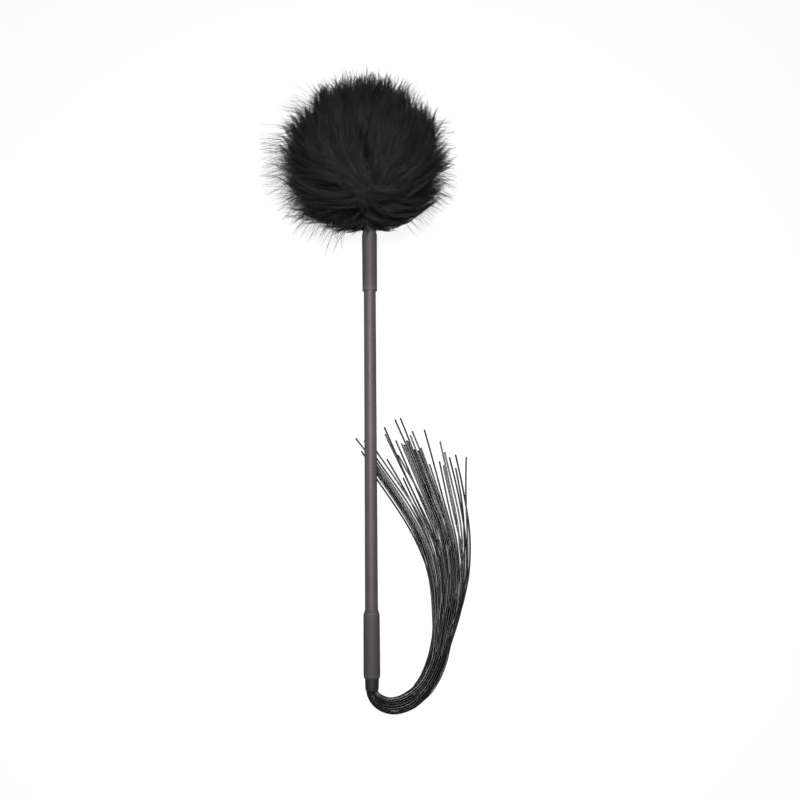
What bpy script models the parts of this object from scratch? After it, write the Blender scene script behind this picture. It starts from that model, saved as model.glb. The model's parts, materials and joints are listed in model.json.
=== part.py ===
"""Feather wand: a slim handle with a round feather pom at one end and a tail of
thin rubber strands at the other.  It lies on a flat surface (z = 0) with the
handle along +Y, the pom at +Y propping that end up, and the tail curled round
to +X and back beneath the handle.

Metres, +Z up.  The origin is on the surface, under the middle of the handle.
Dimensions are in mm and are scaled as each mesh is made.
"""

import math

import bmesh
import bpy
import numpy as np
from mathutils import Vector

MM = 0.001
GAP = 0.3                       # clearance between neighbouring pieces

# ---------------------------------------------------------- handle dimensions
# Spans are (start, end) along the handle's own axis, from the mouth of the
# strand collar (0) towards the pom.
MOUTH_Y = -218.0                # where the collar mouth stands in the object's frame
MOUTH_Z = 5.3                   # height of the axis at the mouth
INCLINE = math.radians(5.5)     # the pom holds its end of the handle up

COLLAR_R = (4.65, 4.95)         # outer radius at the mouth and inside the ferrule
COLLAR_LENGTH = 22.0
COLLAR_WALL = 0.45
COLLAR_BORE_R = COLLAR_R[0] - COLLAR_WALL
ROOT_PLUG = (3.0, 28.0)         # span of the glued strand roots

LOWER_FERRULE = (6.9, 54.6)
LOWER_FERRULE_R = 5.95
UPPER_FERRULE = (287.6, 333.0)
UPPER_FERRULE_R = 5.45

SLEEVE = (31.0, 311.0)
SLEEVE_R = (4.68, 4.38)         # outer radius, tail end and pom end
SLEEVE_BORE_R = 3.3
CORE_ROD_R = 3.0

PLUME_PLUG = (312.0, 331.5)
NECK_CAP = (333.4, 338.2)
NECK_CAP_R = 4.15
STEM = (315.0, 351.2)
STEM_R = 1.5
STEM_HOLE_R = STEM_R + GAP      # bore of the pieces threaded on the stem
QUILLS = (338.8, 350.0)
QUILLS_R = 3.3
THREAD_R = 0.32
THREAD_TURNS = 4
THREAD_STEPS = 14               # points per turn
THREAD_START = QUILLS[0] + 2.4
THREAD_PITCH = 2 * THREAD_R + 0.35

# ------------------------------------------------------------- pom dimensions
# The pom is a ball of plumes fanned out from the neck, flattened where it rests.
POM_CENTRE = (-3.4, 388.8 + MOUTH_Y, 44.0)
POM_HALF = (60.0, 64.8, 52.0)
WISPS = (0.17, 0.08)            # how much further the plumes reach at -X and +X
REST_CLEARANCE = 0.4            # lowest point of the pom
PLUME_ROOT = 345.0              # where the plumes leave the neck, along the handle
PLUME_STEPS = 5                 # grid squares along each edge of a plume
PLUME_ROUNDNESS = 0.42          # 0 is a cube, 1 a ball
CENTRE_PLUME_ANGLE = math.radians(27.0)     # half angle of the middle plume
CENTRE_PLUME_START = 8.5        # distance of its inner end from the neck
OUTER_PLUME_ANGLES = (31.0, 104.0)          # degrees from the handle axis
OUTER_PLUME_START = 9.5
OUTER_PLUMES = 6
PLUME_GAP_DEG = 2.6             # trimmed from each side of an outer plume

# ------------------------------------------------------------ tail dimensions
# The packed bundle through its curl: x and y from the mouth, height, width.
BUNDLE = (
    (0.0, 0.0, MOUTH_Z, 9.2), (1.2, -3.4, 5.0, 9.7), (4.2, -7.2, 4.7, 9.7),
    (9.0, -9.9, 4.5, 10.1), (15.2, -10.9, 4.35, 11.0), (23.4, -9.0, 4.1, 12.1),
    (31.4, -4.1, 3.8, 13.6), (38.3, 2.9, 3.4, 14.8), (43.6, 11.3, 3.15, 15.6),
    (47.2, 20.5, 3.05, 15.4), (50.3, 32.0, 3.0, 15.2),
)
BUNDLE_AREA = 64.0              # mm2 of packed strands
BUNDLE_CLEARANCE = 0.35         # least height of the bundle's underside
BUNDLE_SIDES = 14
BUNDLE_RING_SPACING = 5.0       # rough spacing of rings between the tapers
JOINTS_AT = (1.9, 3.6, 5.3, 7.1)   # row positions in BUNDLE where it bends
JOINT_TIP_R = 0.45              # each bend tapers to this half width beside a joint
JOINT_GAP = 0.28                # and stops this far from it
MOUTH_TAPER = math.tan(math.radians(26))
JOINT_TAPER = math.tan(math.radians(68))

STRAND_R = 0.66
STRAND_GAP = 0.07
STRAND_SIDES = 6
STATIONS = 11                   # points along each strand
FAN_BASE_Y = 32.6
# Edges of the spread strands: distance along y, inner x, outer x.
FAN_EDGES = (
    (32.0, 42.9, 57.6), (46.0, 44.6, 62.0), (62.5, 44.5, 67.1),
    (82.0, 41.5, 70.2), (91.0, 38.6, 71.4), (104.5, 33.6, 71.6),
    (116.0, 27.7, 71.4), (129.0, 18.8, 70.2), (135.0, 14.7, 69.8),
)
FAN_END_Y = FAN_EDGES[-1][0]
# The strands end in locks.  Each lock has a lean (x per y) and the points where
# its strands were cut, x and y from the mouth.
LOCKS = (
    (0.70, ((-12, 182), (-7, 172), (-5, 180), (1, 175), (2, 166), (1, 163),
            (3, 160), (2, 158), (1, 155))),
    (0.58, ((11, 166), (19, 169))),
    (0.44, ((9, 190), (11, 185), (18, 180), (24, 152))),
    (0.39, ((18, 196), (22, 197), (23, 178), (25, 177), (26, 180), (28, 179))),
    (0.36, ((29, 184), (31, 187), (32, 173), (34, 172), (36, 174))),
    (0.27, ((39, 188), (43, 162))),
    (0.21, ((50, 164), (51, 179), (54, 161), (55, 171), (58, 167))),
    (0.20, ((62, 159), (63, 169))),
    (-0.06, ((71, 167),)),
)
LAYERS = (0, 2, 1, 3)           # layer of each strand in a column at the fan base
LAYER_RISE = 1.17
LAID_Z = STRAND_R + 0.4         # centre height of the lowest layer
LAID_STAGGER = 0.35             # height step between strands once fanned out
FALL_LENGTH = 70.0              # y over which the layers come down
SWAY = 0.035                    # sideways wander, as a share of the fan's width

# How the strands are pushed apart.
SETTLE_ROUNDS = 420
SETTLE_LATE = 0.6               # share of the rounds after which only pushes act
SETTLE_REACH = 3                # segments this far apart in order are compared
SETTLE_SINK = 0.03              # drop per early round
SETTLE_PULL = 0.06              # early pull back to the starting x
SETTLE_FLOOR = STRAND_R + 0.35  # lowest centre height
SETTLE_LEAST = 0.05             # closer than this, strands part vertically
SETTLE_STEEPEN = 1.5            # how far pushes favour z
SETTLE_PUSH = 0.32              # share of an overlap undone per round
SETTLE_EXTRA = 0.002            # added to every push
SETTLE_ALONG = 0.1              # share of the y movement that is kept


# ------------------------------------------------------------------ materials
def material(name, colour, roughness, metallic=0.0):
    mat = bpy.data.materials.new(name)
    mat.use_nodes = True
    bsdf = next(n for n in mat.node_tree.nodes if n.type == "BSDF_PRINCIPLED")
    bsdf.inputs["Base Color"].default_value = (*colour, 1.0)
    bsdf.inputs["Roughness"].default_value = roughness
    bsdf.inputs["Metallic"].default_value = metallic
    mat.diffuse_color = (*colour, 1.0)
    return mat


# -------------------------------------------------------------------- shaping
def add_object(name, verts, faces, mat, parent=None):
    """A smooth-shaded mesh object from points in mm, with its faces turned outwards."""
    bm = bmesh.new()
    made = [bm.verts.new(Vector(p) * MM) for p in verts]
    for face in faces:
        bm.faces.new([made[i] for i in face])
    bmesh.ops.recalc_face_normals(bm, faces=bm.faces)
    mesh = bpy.data.meshes.new(name)
    bm.to_mesh(mesh)
    bm.free()
    mesh.materials.append(mat)
    mesh.shade_smooth()
    mesh.set_sharp_from_angle(angle=math.radians(40))
    obj = bpy.data.objects.new(name, mesh)
    bpy.context.scene.collection.objects.link(obj)
    obj.parent = parent


def turn_angles(count):
    return [2 * math.pi * k / count for k in range(count)]


def lathe(name, profile, mat, parent, segments):
    """Turns a closed outline of (radius, distance) about the parent's Z axis."""
    verts, rows, faces = [], [], []
    for radius, along in profile:
        if radius == 0.0:
            rows.append([len(verts)] * segments)
            verts.append((0.0, 0.0, along))
            continue
        rows.append(list(range(len(verts), len(verts) + segments)))
        for angle in turn_angles(segments):
            verts.append((radius * math.cos(angle), radius * math.sin(angle), along))
    for here, there in zip(rows, rows[1:] + rows[:1]):
        if here[0] == here[1] and there[0] == there[1]:
            continue    # both ends of this edge are on the axis
        for k in range(segments):
            n = (k + 1) % segments
            corners = (here[k], here[n], there[n], there[k])
            faces.append(list(dict.fromkeys(corners)))
    add_object(name, verts, faces, mat, parent)


def loft(name, rings, mat, parent=None):
    """Skins rings of equal count and closes both ends."""
    size = len(rings[0])
    verts = [p for ring in rings for p in ring]
    faces = []
    for start in range(0, len(verts) - size, size):
        for k in range(size):
            n = (k + 1) % size
            faces.append((start + k, start + n, start + size + n, start + size + k))
    faces.append(range(size))
    faces.append(range(len(verts) - size, len(verts)))
    add_object(name, verts, faces, mat, parent)


def tube(name, points, radius, sides, mat, parent=None):
    """A round strand of the given radius through points."""
    points = [Vector(p) for p in points]
    rings, side = [], None
    for i, point in enumerate(points):
        ahead = points[min(i + 1, len(points) - 1)] - points[max(i - 1, 0)]
        ahead.normalize()
        if side is None:
            side = ahead.orthogonal().normalized()
        side = (side - ahead * side.dot(ahead)).normalized()
        other = ahead.cross(side)
        rings.append([
            point + radius * (side * math.cos(angle) + other * math.sin(angle))
            for angle in turn_angles(sides)
        ])
    loft(name, rings, mat, parent)


def through(points, position):
    """The Catmull-Rom curve through rows of numbers, at a fractional row position."""
    rows = np.asarray(points, float)
    i = min(max(int(math.floor(position)), 0), len(rows) - 2)
    t = position - i
    p1, p2 = rows[i], rows[i + 1]
    p0 = rows[i - 1] if i else 2 * p1 - p2
    p3 = rows[i + 2] if i + 2 < len(rows) else 2 * p2 - p1
    return 0.5 * (2 * p1 + (p2 - p0) * t + (2 * p0 - 5 * p1 + 4 * p2 - p3) * t**2
                  + (3 * p1 - p0 - 3 * p2 + p3) * t**3)


# --------------------------------------------------------------------- handle
def add_handle_axis():
    """The empty whose Z axis runs up the handle from the collar mouth."""
    empty = bpy.data.objects.new("handle_axis", None)
    bpy.context.scene.collection.objects.link(empty)
    empty.location = (0.0, MOUTH_Y * MM, MOUTH_Z * MM)
    empty.rotation_euler = (INCLINE - math.radians(90.0), 0.0, 0.0)
    bpy.context.view_layer.update()
    return empty


def sleeve_r(along):
    """Outer radius of the tapering sleeve."""
    t = (along - SLEEVE[0]) / (SLEEVE[1] - SLEEVE[0])
    return SLEEVE_R[0] + (SLEEVE_R[1] - SLEEVE_R[0]) * t


UPPER_BORE_R = sleeve_r(UPPER_FERRULE[0]) + GAP


def core_rod(mat, parent):
    start, end = SLEEVE[0] - 1.5, SLEEVE[1]
    lathe("core_rod", [
        (0.0, start), (CORE_ROD_R - 0.4, start), (CORE_ROD_R, start + 0.4),
        (CORE_ROD_R, end - 0.4), (CORE_ROD_R - 0.4, end), (0.0, end),
    ], mat, parent, segments=20)


def rod_sleeve(mat, parent):
    start, end = SLEEVE
    middle = (start + end) / 2
    lathe("rod_sleeve", [
        (SLEEVE_BORE_R, start), (SLEEVE_R[0], start), (sleeve_r(middle), middle),
        (SLEEVE_R[1], end), (SLEEVE_BORE_R, end),
    ], mat, parent, segments=32)


def lower_ferrule(mat, parent):
    """Its bore steps from the collar's radius to the sleeve's at the root plug's end."""
    start, end = LOWER_FERRULE
    radius = LOWER_FERRULE_R
    collar_side = COLLAR_R[1] + GAP
    sleeve_side = sleeve_r(start) + GAP
    lathe("lower_ferrule", [
        (collar_side, start), (radius - 0.45, start), (radius - 0.12, start + 1.0),
        (radius, start + 2.6), (radius - 0.10, end - 3.4), (radius - 0.28, end - 2.4),
        (radius - 0.55, end - 1.2), (radius - 0.72, end), (sleeve_side, end),
        (sleeve_side, ROOT_PLUG[1] + 1.0), (collar_side, ROOT_PLUG[1] - 1.0),
    ], mat, parent, segments=32)


def upper_ferrule(mat, parent):
    start, end = UPPER_FERRULE
    radius = UPPER_FERRULE_R
    lathe("upper_ferrule", [
        (UPPER_BORE_R, start), (radius, start), (radius + 0.12, end - 4.2),
        (radius - 0.25, end - 1.6), (UPPER_BORE_R + 0.12, end), (UPPER_BORE_R, end),
    ], mat, parent, segments=32)


def strand_collar(mat, parent):
    mouth_r, inner_r = COLLAR_R
    lathe("strand_collar", [
        (COLLAR_BORE_R, 0.0), (mouth_r, 0.0), (mouth_r + 0.22, 2.2), (inner_r, 5.0),
        (inner_r, COLLAR_LENGTH), (COLLAR_BORE_R, COLLAR_LENGTH),
    ], mat, parent, segments=28)


def strand_root_plug(mat, parent):
    start, end = ROOT_PLUG
    radius = COLLAR_BORE_R - GAP
    lathe("strand_root_plug", [
        (0.0, start), (radius, start), (radius, end - 0.6), (radius - 0.6, end),
        (0.0, end),
    ], mat, parent, segments=20)


def plume_plug(mat, parent):
    start, end = PLUME_PLUG
    radius = UPPER_BORE_R - GAP
    lathe("plume_plug", [
        (STEM_HOLE_R, start), (radius - 0.4, start), (radius, start + 0.6),
        (radius, end - 0.6), (radius - 0.4, end), (STEM_HOLE_R, end),
    ], mat, parent, segments=20)


def neck_cap(mat, parent):
    start, end = NECK_CAP
    radius = NECK_CAP_R
    lathe("neck_cap", [
        (STEM_HOLE_R, start), (radius, start), (radius + 0.15, start + 1.0),
        (radius, start + 2.6), (radius - 0.6, start + 4.0), (radius - 1.5, end),
        (STEM_HOLE_R, end),
    ], mat, parent, segments=28)


def plume_stem(mat, parent):
    start, end = STEM
    lathe("plume_stem", [
        (0.0, start), (STEM_R - 0.3, start), (STEM_R, start + 0.3),
        (STEM_R, end - 0.5), (STEM_R - 0.5, end), (0.0, end),
    ], mat, parent, segments=16)


def quill_bundle(mat, parent):
    start, end = QUILLS
    lathe("quill_bundle", [
        (STEM_HOLE_R, start), (QUILLS_R - 0.5, start), (QUILLS_R, start + 1.2),
        (QUILLS_R, end - 2.0), (QUILLS_R + 0.35, end), (STEM_HOLE_R, end),
    ], mat, parent, segments=20)


def binding_thread(mat, parent):
    """A coil round the quills."""
    coil_r = QUILLS_R + GAP + THREAD_R
    coil = []
    for k in range(THREAD_STEPS * THREAD_TURNS + 1):
        turns = k / THREAD_STEPS
        angle = 2 * math.pi * turns
        coil.append((coil_r * math.cos(angle), coil_r * math.sin(angle),
                     THREAD_START + turns * THREAD_PITCH))
    tube("binding_thread", coil, THREAD_R, 6, mat, parent)


# ------------------------------------------------------------------------ pom
AXIS = Vector((0.0, math.cos(INCLINE), math.sin(INCLINE)))
UP = Vector((0.0, -math.sin(INCLINE), math.cos(INCLINE)))
RIGHT = Vector((1.0, 0.0, 0.0))
NECK = Vector((0.0, MOUTH_Y, MOUTH_Z)) + AXIS * PLUME_ROOT


def pom_reach(direction):
    """How far the pom reaches from the neck, within the ball and above the rest."""
    # Scaled so that the ball has radius 1, this is where a ray leaves it.
    origin = Vector([(NECK[i] - POM_CENTRE[i]) / POM_HALF[i] for i in range(3)])
    ray = Vector([direction[i] / POM_HALF[i] for i in range(3)])
    a, b, c = ray.dot(ray), 2 * origin.dot(ray), origin.dot(origin) - 1
    reach = (-b + math.sqrt(b * b - 4 * a * c)) / (2 * a)
    if direction.z < -1e-6:
        reach = min(reach, (NECK.z - REST_CLEARANCE) / -direction.z)
    return reach


def drawn_out(point):
    """The pom is drawn out sideways, where its longer wisps are."""
    off = point.x - POM_CENTRE[0]
    wisp = WISPS[0] if off < 0 else WISPS[1]
    return Vector((POM_CENTRE[0] + off * (1 + wisp * (off / POM_HALF[0]) ** 2),
                   point.y, point.z))


def pom_direction(polar, azimuth):
    """Unit direction at an angle from the handle axis, turned about it."""
    spread = math.sin(polar)
    return (AXIS * math.cos(polar) + RIGHT * (spread * math.cos(azimuth))
            + UP * (spread * math.sin(azimuth))).normalized()


def rounded_cube(steps, roundness):
    """Points of a cube's surface grid, drawn in towards the inscribed ball."""
    index, verts, faces = {}, [], []

    def vertex_at(grid):
        if grid not in index:
            corner = Vector([2 * v / steps - 1 for v in grid])
            index[grid] = len(verts)
            verts.append(corner.lerp(corner.normalized(), roundness))
        return index[grid]

    for side in (0, steps):
        for i in range(steps):
            for j in range(steps):
                for order in ((0, 1, 2), (1, 2, 0), (2, 0, 1)):
                    face = []
                    for di, dj in ((0, 0), (1, 0), (1, 1), (0, 1)):
                        grid = [0, 0, 0]
                        for place, value in zip(order, (i + di, j + dj, side)):
                            grid[place] = value
                        face.append(vertex_at(tuple(grid)))
                    faces.append(face)
    return verts, faces


def plume(name, direction_at, start, mat):
    """A soft lobe of barbs: a rounded block bent into the cell of direction_at()."""
    verts, faces = rounded_cube(PLUME_STEPS, PLUME_ROUNDNESS)
    placed = []
    for v in verts:
        direction = direction_at(v.x, v.y)
        share = (v.z + 1) / 2
        distance = start + (pom_reach(direction) - start) * share
        placed.append(drawn_out(NECK + direction * distance))
    add_object(name, placed, faces, mat)


def centre_cell(x, y):
    """The square -1..1 mapped to a cone about the handle axis."""
    return pom_direction(CENTRE_PLUME_ANGLE * max(abs(x), abs(y)), math.atan2(y, x))


def outer_cell(number):
    """The mapping of the square -1..1 to one sector of the ring of outer plumes."""
    low, high = OUTER_PLUME_ANGLES
    sector = 360.0 / OUTER_PLUMES

    def direction_at(x, y):
        polar = (low + high) / 2 + x * (high - low) / 2
        azimuth = sector * number + y * (sector / 2 - PLUME_GAP_DEG)
        return pom_direction(math.radians(polar), math.radians(azimuth))

    return direction_at


def pom(mat):
    plume("feather_plume_1", centre_cell, CENTRE_PLUME_START, mat)
    for n in range(OUTER_PLUMES):
        plume(f"feather_plume_{n + 2}", outer_cell(n), OUTER_PLUME_START, mat)


# --------------------------------------------------------------- bundle bends
def bundle_ring(position, shrink, square_on):
    """An elliptical ring of the bundle, across its path or square on to Y."""
    x, y, z, width = through(BUNDLE, position)
    ahead = (through(BUNDLE, min(position + 0.02, len(BUNDLE) - 1))
             - through(BUNDLE, max(position - 0.02, 0)))[:2]
    ahead /= np.hypot(*ahead)
    across_x, across_y = (1.0, 0.0) if square_on else (ahead[1], -ahead[0])
    half_width = width / 2
    half_height = min(BUNDLE_AREA / (math.pi * half_width), z - BUNDLE_CLEARANCE)
    half_width *= shrink
    half_height *= shrink
    return [
        (x + across_x * half_width * math.cos(angle),
         y + MOUTH_Y + across_y * half_width * math.cos(angle),
         z + half_height * math.sin(angle))
        for angle in turn_angles(BUNDLE_SIDES)
    ]


def path_length(first, last, steps=40):
    """Length in plan of the bundle's path between two row positions."""
    points = [through(BUNDLE, first + (last - first) * k / steps)[:2]
              for k in range(steps + 1)]
    return sum(float(np.hypot(*(b - a))) for a, b in zip(points, points[1:]))


def bundle_bend(name, first, last, start_taper, end_taper, mat):
    """A stretch of the packed strands, tapered beside each joint so that it can fold.

    Without an end taper it ends at full width, square on to Y.
    """
    total = path_length(first, last)
    shares = [k / 40 for k in range(41)]
    lengths = [path_length(first, first + (last - first) * share) for share in shares]

    # Lengths of the tapers, shortened where both don't fit.
    half_width = through(BUNDLE, (first + last) / 2)[3] / 2
    lead = half_width / start_taper
    tail = half_width / end_taper if end_taper else 0.0
    room = total - 2 * JOINT_GAP
    if lead + tail > room:
        fit = room / (lead + tail) * 0.98
        lead *= fit
        tail *= fit

    # Distances of the rings along the stretch.
    start = JOINT_GAP
    stop = total - (JOINT_GAP if end_taper else 0.0)
    free = stop - start - lead - tail
    pieces = max(1, int(round(free / BUNDLE_RING_SPACING)))
    distances = [start]
    distances += [start + lead + free * k / pieces for k in range(pieces)]
    if end_taper:
        distances.append(stop - tail)
    distances.append(stop)

    rings = []
    for distance in distances:
        position = first + (last - first) * float(np.interp(distance, lengths, shares))
        half_width = through(BUNDLE, position)[3] / 2
        shrink = min(1.0, (JOINT_TIP_R + (distance - start) * start_taper) / half_width)
        if end_taper:
            shrink = min(shrink, (JOINT_TIP_R + (stop - distance) * end_taper) / half_width)
        square_on = not end_taper and distance == stop
        rings.append(bundle_ring(position, shrink, square_on))
    loft(name, rings, mat)


def strand_bundle(mat):
    ends = (0.0, *JOINTS_AT, float(len(BUNDLE) - 1))
    bends = len(ends) - 1
    for n in range(bends):
        bundle_bend(f"strand_bundle_{n + 1}", ends[n], ends[n + 1],
                    start_taper=JOINT_TAPER if n else MOUTH_TAPER,
                    end_taper=JOINT_TAPER if n < bends - 1 else None, mat=mat)


# -------------------------------------------------------------------- strands
def fan_edge(y):
    """The x of the innermost and outermost strand centres at y."""
    position = float(np.interp(y, [row[0] for row in FAN_EDGES], range(len(FAN_EDGES))))
    row = through(FAN_EDGES, position)
    return row[1] + STRAND_R, row[2] - STRAND_R


TIPS = [(x, y, lean) for lean, points in LOCKS for x, y in points]
STRANDS = len(TIPS)
# The x at which each strand leaves the end of the fan.
PASSING = [x + (y - FAN_END_Y) * lean for x, y, lean in TIPS]
# Order of the strands where they leave the bundle: as they end, but a few places
# out here and there, which is what makes them cross.
BASE_ORDER = sorted(range(STRANDS), key=lambda i: PASSING[i] + 3.6 * math.sin(2.4 * i + 0.6))


def strand_points(i):
    """The strand's path before neighbours push it aside."""
    base_in, base_out = fan_edge(FAN_BASE_Y)
    pitch = (base_out - base_in) / (STRANDS // len(LAYERS) - 0.5)
    column, place = divmod(BASE_ORDER.index(i), len(LAYERS))
    layer = LAYERS[place]
    base_x = base_in + (column + 0.5 * (layer % 2)) * pitch
    base_z = LAID_Z + layer * LAYER_RISE
    tip_x, tip_y, lean = TIPS[i]
    low, high = fan_edge(FAN_END_Y)
    end_share = min(max((PASSING[i] - low) / (high - low), 0.0), 1.0)
    base_share = (base_x - base_in) / (base_out - base_in)
    points = []
    for k in range(STATIONS):
        y = FAN_BASE_Y + (tip_y - FAN_BASE_Y) * (k / (STATIONS - 1))
        if y <= FAN_END_Y:
            q = (y - FAN_BASE_Y) / (FAN_END_Y - FAN_BASE_Y)
            ease = q * q * (3 - 2 * q)
            low, high = fan_edge(y)
            share = base_share + (end_share - base_share) * ease
            share += SWAY * math.sin(3.1 * i + 5.0 * q) * math.sin(math.pi * q)
            x = low + (high - low) * min(max(share, 0.0), 1.0)
        else:
            x = tip_x + (tip_y - y) * lean
        fall = min(1.0, max(0.0, (y - FAN_BASE_Y) / FALL_LENGTH))
        z = base_z * (1 - fall) + (LAID_Z + LAID_STAGGER * (i % 3)) * fall
        points.append((x, y + MOUTH_Y, z))
    return points


def nearest(p1, q1, p2, q2):
    """Closest points of many pairs of segments: shares along each, and the offset."""
    d1, d2, r = q1 - p1, q2 - p2, p1 - p2
    a, e = (d1 * d1).sum(1), (d2 * d2).sum(1)
    b, c, f = (d1 * d2).sum(1), (d1 * r).sum(1), (d2 * r).sum(1)
    den = a * e - b * b
    s = np.clip(np.where(den > 1e-9, (b * f - c * e) / np.maximum(den, 1e-9), 0.5), 0, 1)
    t = (b * s + f) / e
    t_in = np.clip(t, 0, 1)
    s = np.where(t != t_in, np.clip((b * t_in - c) / a, 0, 1), s)
    return s, t_in, (p1 + d1 * s[:, None]) - (p2 + d2 * t_in[:, None])


def segment_pairs():
    """Columns of strand, segment, other strand, other segment to compare."""
    segments = STATIONS - 1
    return np.array([
        (i, k, j, m)
        for i in range(STRANDS)
        for j in range(i + 1, STRANDS)
        for k in range(segments)
        for m in range(max(0, k - SETTLE_REACH), min(segments, k + SETTLE_REACH + 1))
    ]).T


def settle(paths):
    """Pushes strands apart until none overlap: they slide and climb over each other."""
    pts = np.array(paths)
    home = pts.copy()
    strand_a, seg_a, strand_b, seg_b = segment_pairs()
    want = 2 * STRAND_R + STRAND_GAP
    for step in range(SETTLE_ROUNDS):
        late = step > SETTLE_ROUNDS * SETTLE_LATE
        if not late:
            pts[:, 1:, 2] -= SETTLE_SINK
            pts[:, 1:, 0] += (home[:, 1:, 0] - pts[:, 1:, 0]) * SETTLE_PULL
        pts[:, 1:, 2] = np.maximum(pts[:, 1:, 2], SETTLE_FLOOR)
        share_a, share_b, off = nearest(pts[strand_a, seg_a], pts[strand_a, seg_a + 1],
                                        pts[strand_b, seg_b], pts[strand_b, seg_b + 1])
        dist = np.sqrt((off * off).sum(1))
        hit = dist < want
        if not hit.any():
            if late:
                break
            continue
        off, dist = off[hit], dist[hit]
        off[dist < SETTLE_LEAST] = (0.0, 0.0, SETTLE_LEAST)
        dist = np.maximum(dist, SETTLE_LEAST)
        normal = off / dist[:, None]
        # Strands lie on one another, so most of the push is upwards or downwards.
        normal[:, 2] *= SETTLE_STEEPEN
        normal /= np.sqrt((normal * normal).sum(1))[:, None]
        push = normal * (SETTLE_PUSH * (want - dist) + SETTLE_EXTRA)[:, None]
        move = np.zeros_like(pts)
        count = np.zeros(pts.shape[:2])
        for strand, seg, share, sign in ((strand_a[hit], seg_a[hit], share_a[hit], 1.0),
                                         (strand_b[hit], seg_b[hit], share_b[hit], -1.0)):
            np.add.at(move, (strand, seg), sign * push * (1 - share)[:, None])
            np.add.at(move, (strand, seg + 1), sign * push * share[:, None])
            np.add.at(count, (strand, seg), 1 - share)
            np.add.at(count, (strand, seg + 1), share)
        move /= np.maximum(count, 1.0)[:, :, None] ** 0.5
        move[:, 0] = 0.0    # the roots stay in the bundle
        move[:, :, 1] *= SETTLE_ALONG
        pts += move
    pts[:, 1:, 2] = np.maximum(pts[:, 1:, 2], SETTLE_FLOOR)
    return pts


def strands(mat):
    laid = settle([strand_points(i) for i in range(STRANDS)])
    for rank, i in enumerate(BASE_ORDER):
        tube(f"strand_{rank + 1:02d}", laid[i], STRAND_R, STRAND_SIDES, mat)


# ---------------------------------------------------------------------- build
for old in list(bpy.data.objects):
    bpy.data.objects.remove(old, do_unlink=True)

soft_touch = material("soft_touch_grey", colour=(0.150, 0.135, 0.143), roughness=0.55)
ferrule_grey = material("ferrule_grey", colour=(0.135, 0.121, 0.129), roughness=0.50)
cap_grey = material("neck_cap_grey", colour=(0.30, 0.28, 0.29), roughness=0.45)
steel = material("core_steel", colour=(0.55, 0.55, 0.56), roughness=0.35, metallic=1.0)
glue = material("potting_black", colour=(0.03, 0.03, 0.032), roughness=0.5)
dowel = material("dowel_wood", colour=(0.55, 0.40, 0.25), roughness=0.7)
thread = material("thread_black", colour=(0.02, 0.02, 0.022), roughness=0.8)
quill = material("quill_black", colour=(0.05, 0.047, 0.05), roughness=0.6)
collar = material("collar_black", colour=(0.035, 0.032, 0.034), roughness=0.6)
feather = material("feather_black", colour=(0.012, 0.012, 0.013), roughness=0.85)
rubber = material("strand_rubber", colour=(0.045, 0.045, 0.047), roughness=0.45)

handle_axis = add_handle_axis()
for build, mat in (
    (core_rod, steel), (rod_sleeve, soft_touch), (lower_ferrule, ferrule_grey),
    (upper_ferrule, ferrule_grey), (strand_collar, collar), (strand_root_plug, glue),
    (plume_plug, dowel), (neck_cap, cap_grey), (plume_stem, dowel),
    (quill_bundle, quill), (binding_thread, thread),
):
    build(mat, handle_axis)
pom(feather)
strand_bundle(rubber)
strands(rubber)
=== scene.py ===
"""Looks for a feather wand, built round its CAD frame.

The wand lies on the table (z = 0). Its handle runs towards +Y, from the mouth of the strand
collar to the feather pom. The strands leave the mouth, curl round in the tail and spread
over the table towards +Y. Lengths are in mm, and turn into metres as meshes are built.
"""
import json
import math

import bpy
import numpy as np
from mathutils import Matrix, Vector


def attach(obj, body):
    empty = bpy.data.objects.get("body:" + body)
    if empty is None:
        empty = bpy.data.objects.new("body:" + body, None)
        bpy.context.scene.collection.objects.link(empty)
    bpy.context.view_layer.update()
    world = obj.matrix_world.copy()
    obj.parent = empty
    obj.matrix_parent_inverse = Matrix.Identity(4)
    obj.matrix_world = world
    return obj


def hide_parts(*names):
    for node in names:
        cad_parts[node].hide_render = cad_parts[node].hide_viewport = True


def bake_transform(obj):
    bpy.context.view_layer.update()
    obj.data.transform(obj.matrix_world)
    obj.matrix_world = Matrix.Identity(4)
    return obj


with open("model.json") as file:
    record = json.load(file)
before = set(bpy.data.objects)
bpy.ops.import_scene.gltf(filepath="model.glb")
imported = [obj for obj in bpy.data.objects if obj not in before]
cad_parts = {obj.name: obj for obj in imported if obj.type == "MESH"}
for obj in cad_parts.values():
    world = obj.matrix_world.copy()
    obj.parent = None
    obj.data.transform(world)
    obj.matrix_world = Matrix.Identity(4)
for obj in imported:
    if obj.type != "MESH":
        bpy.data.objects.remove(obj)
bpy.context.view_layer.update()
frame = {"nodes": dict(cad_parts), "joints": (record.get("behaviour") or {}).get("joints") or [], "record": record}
NODES = frame["nodes"]
JOINTS = {joint["name"]: joint for joint in frame["joints"]}
MM = 0.001


# ----------------------------------------------------------------- the CAD frame
def unit(vector):
    """One vector at length 1."""
    return vector / np.linalg.norm(vector)


def units(vectors):
    """Each row at length 1; null rows stay null."""
    return vectors / np.maximum(np.linalg.norm(vectors, axis=-1, keepdims=True), 1e-9)


def joint_place(name):
    return np.array(JOINTS[name]["pos_m"]) / MM


# Along the handle, the mouth is 0; `side` (+X) and `upward` lie across it.
mouth = joint_place("tail_lift")
mount = next(m for m in frame["record"]["mounts"] if m["name"] == "upper_ferrule_shoulder")
axis = unit(-np.array(mount["axis"], float))
side = np.array([1.0, 0.0, 0.0])
upward = np.cross(side, axis)
upward *= np.sign(upward[2])


def node_points(name):
    """A CAD node's corners, each once."""
    corners = np.array([v.co for v in NODES[name].data.vertices], float) / MM
    return np.unique(np.round(corners, 3), axis=0)


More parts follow.
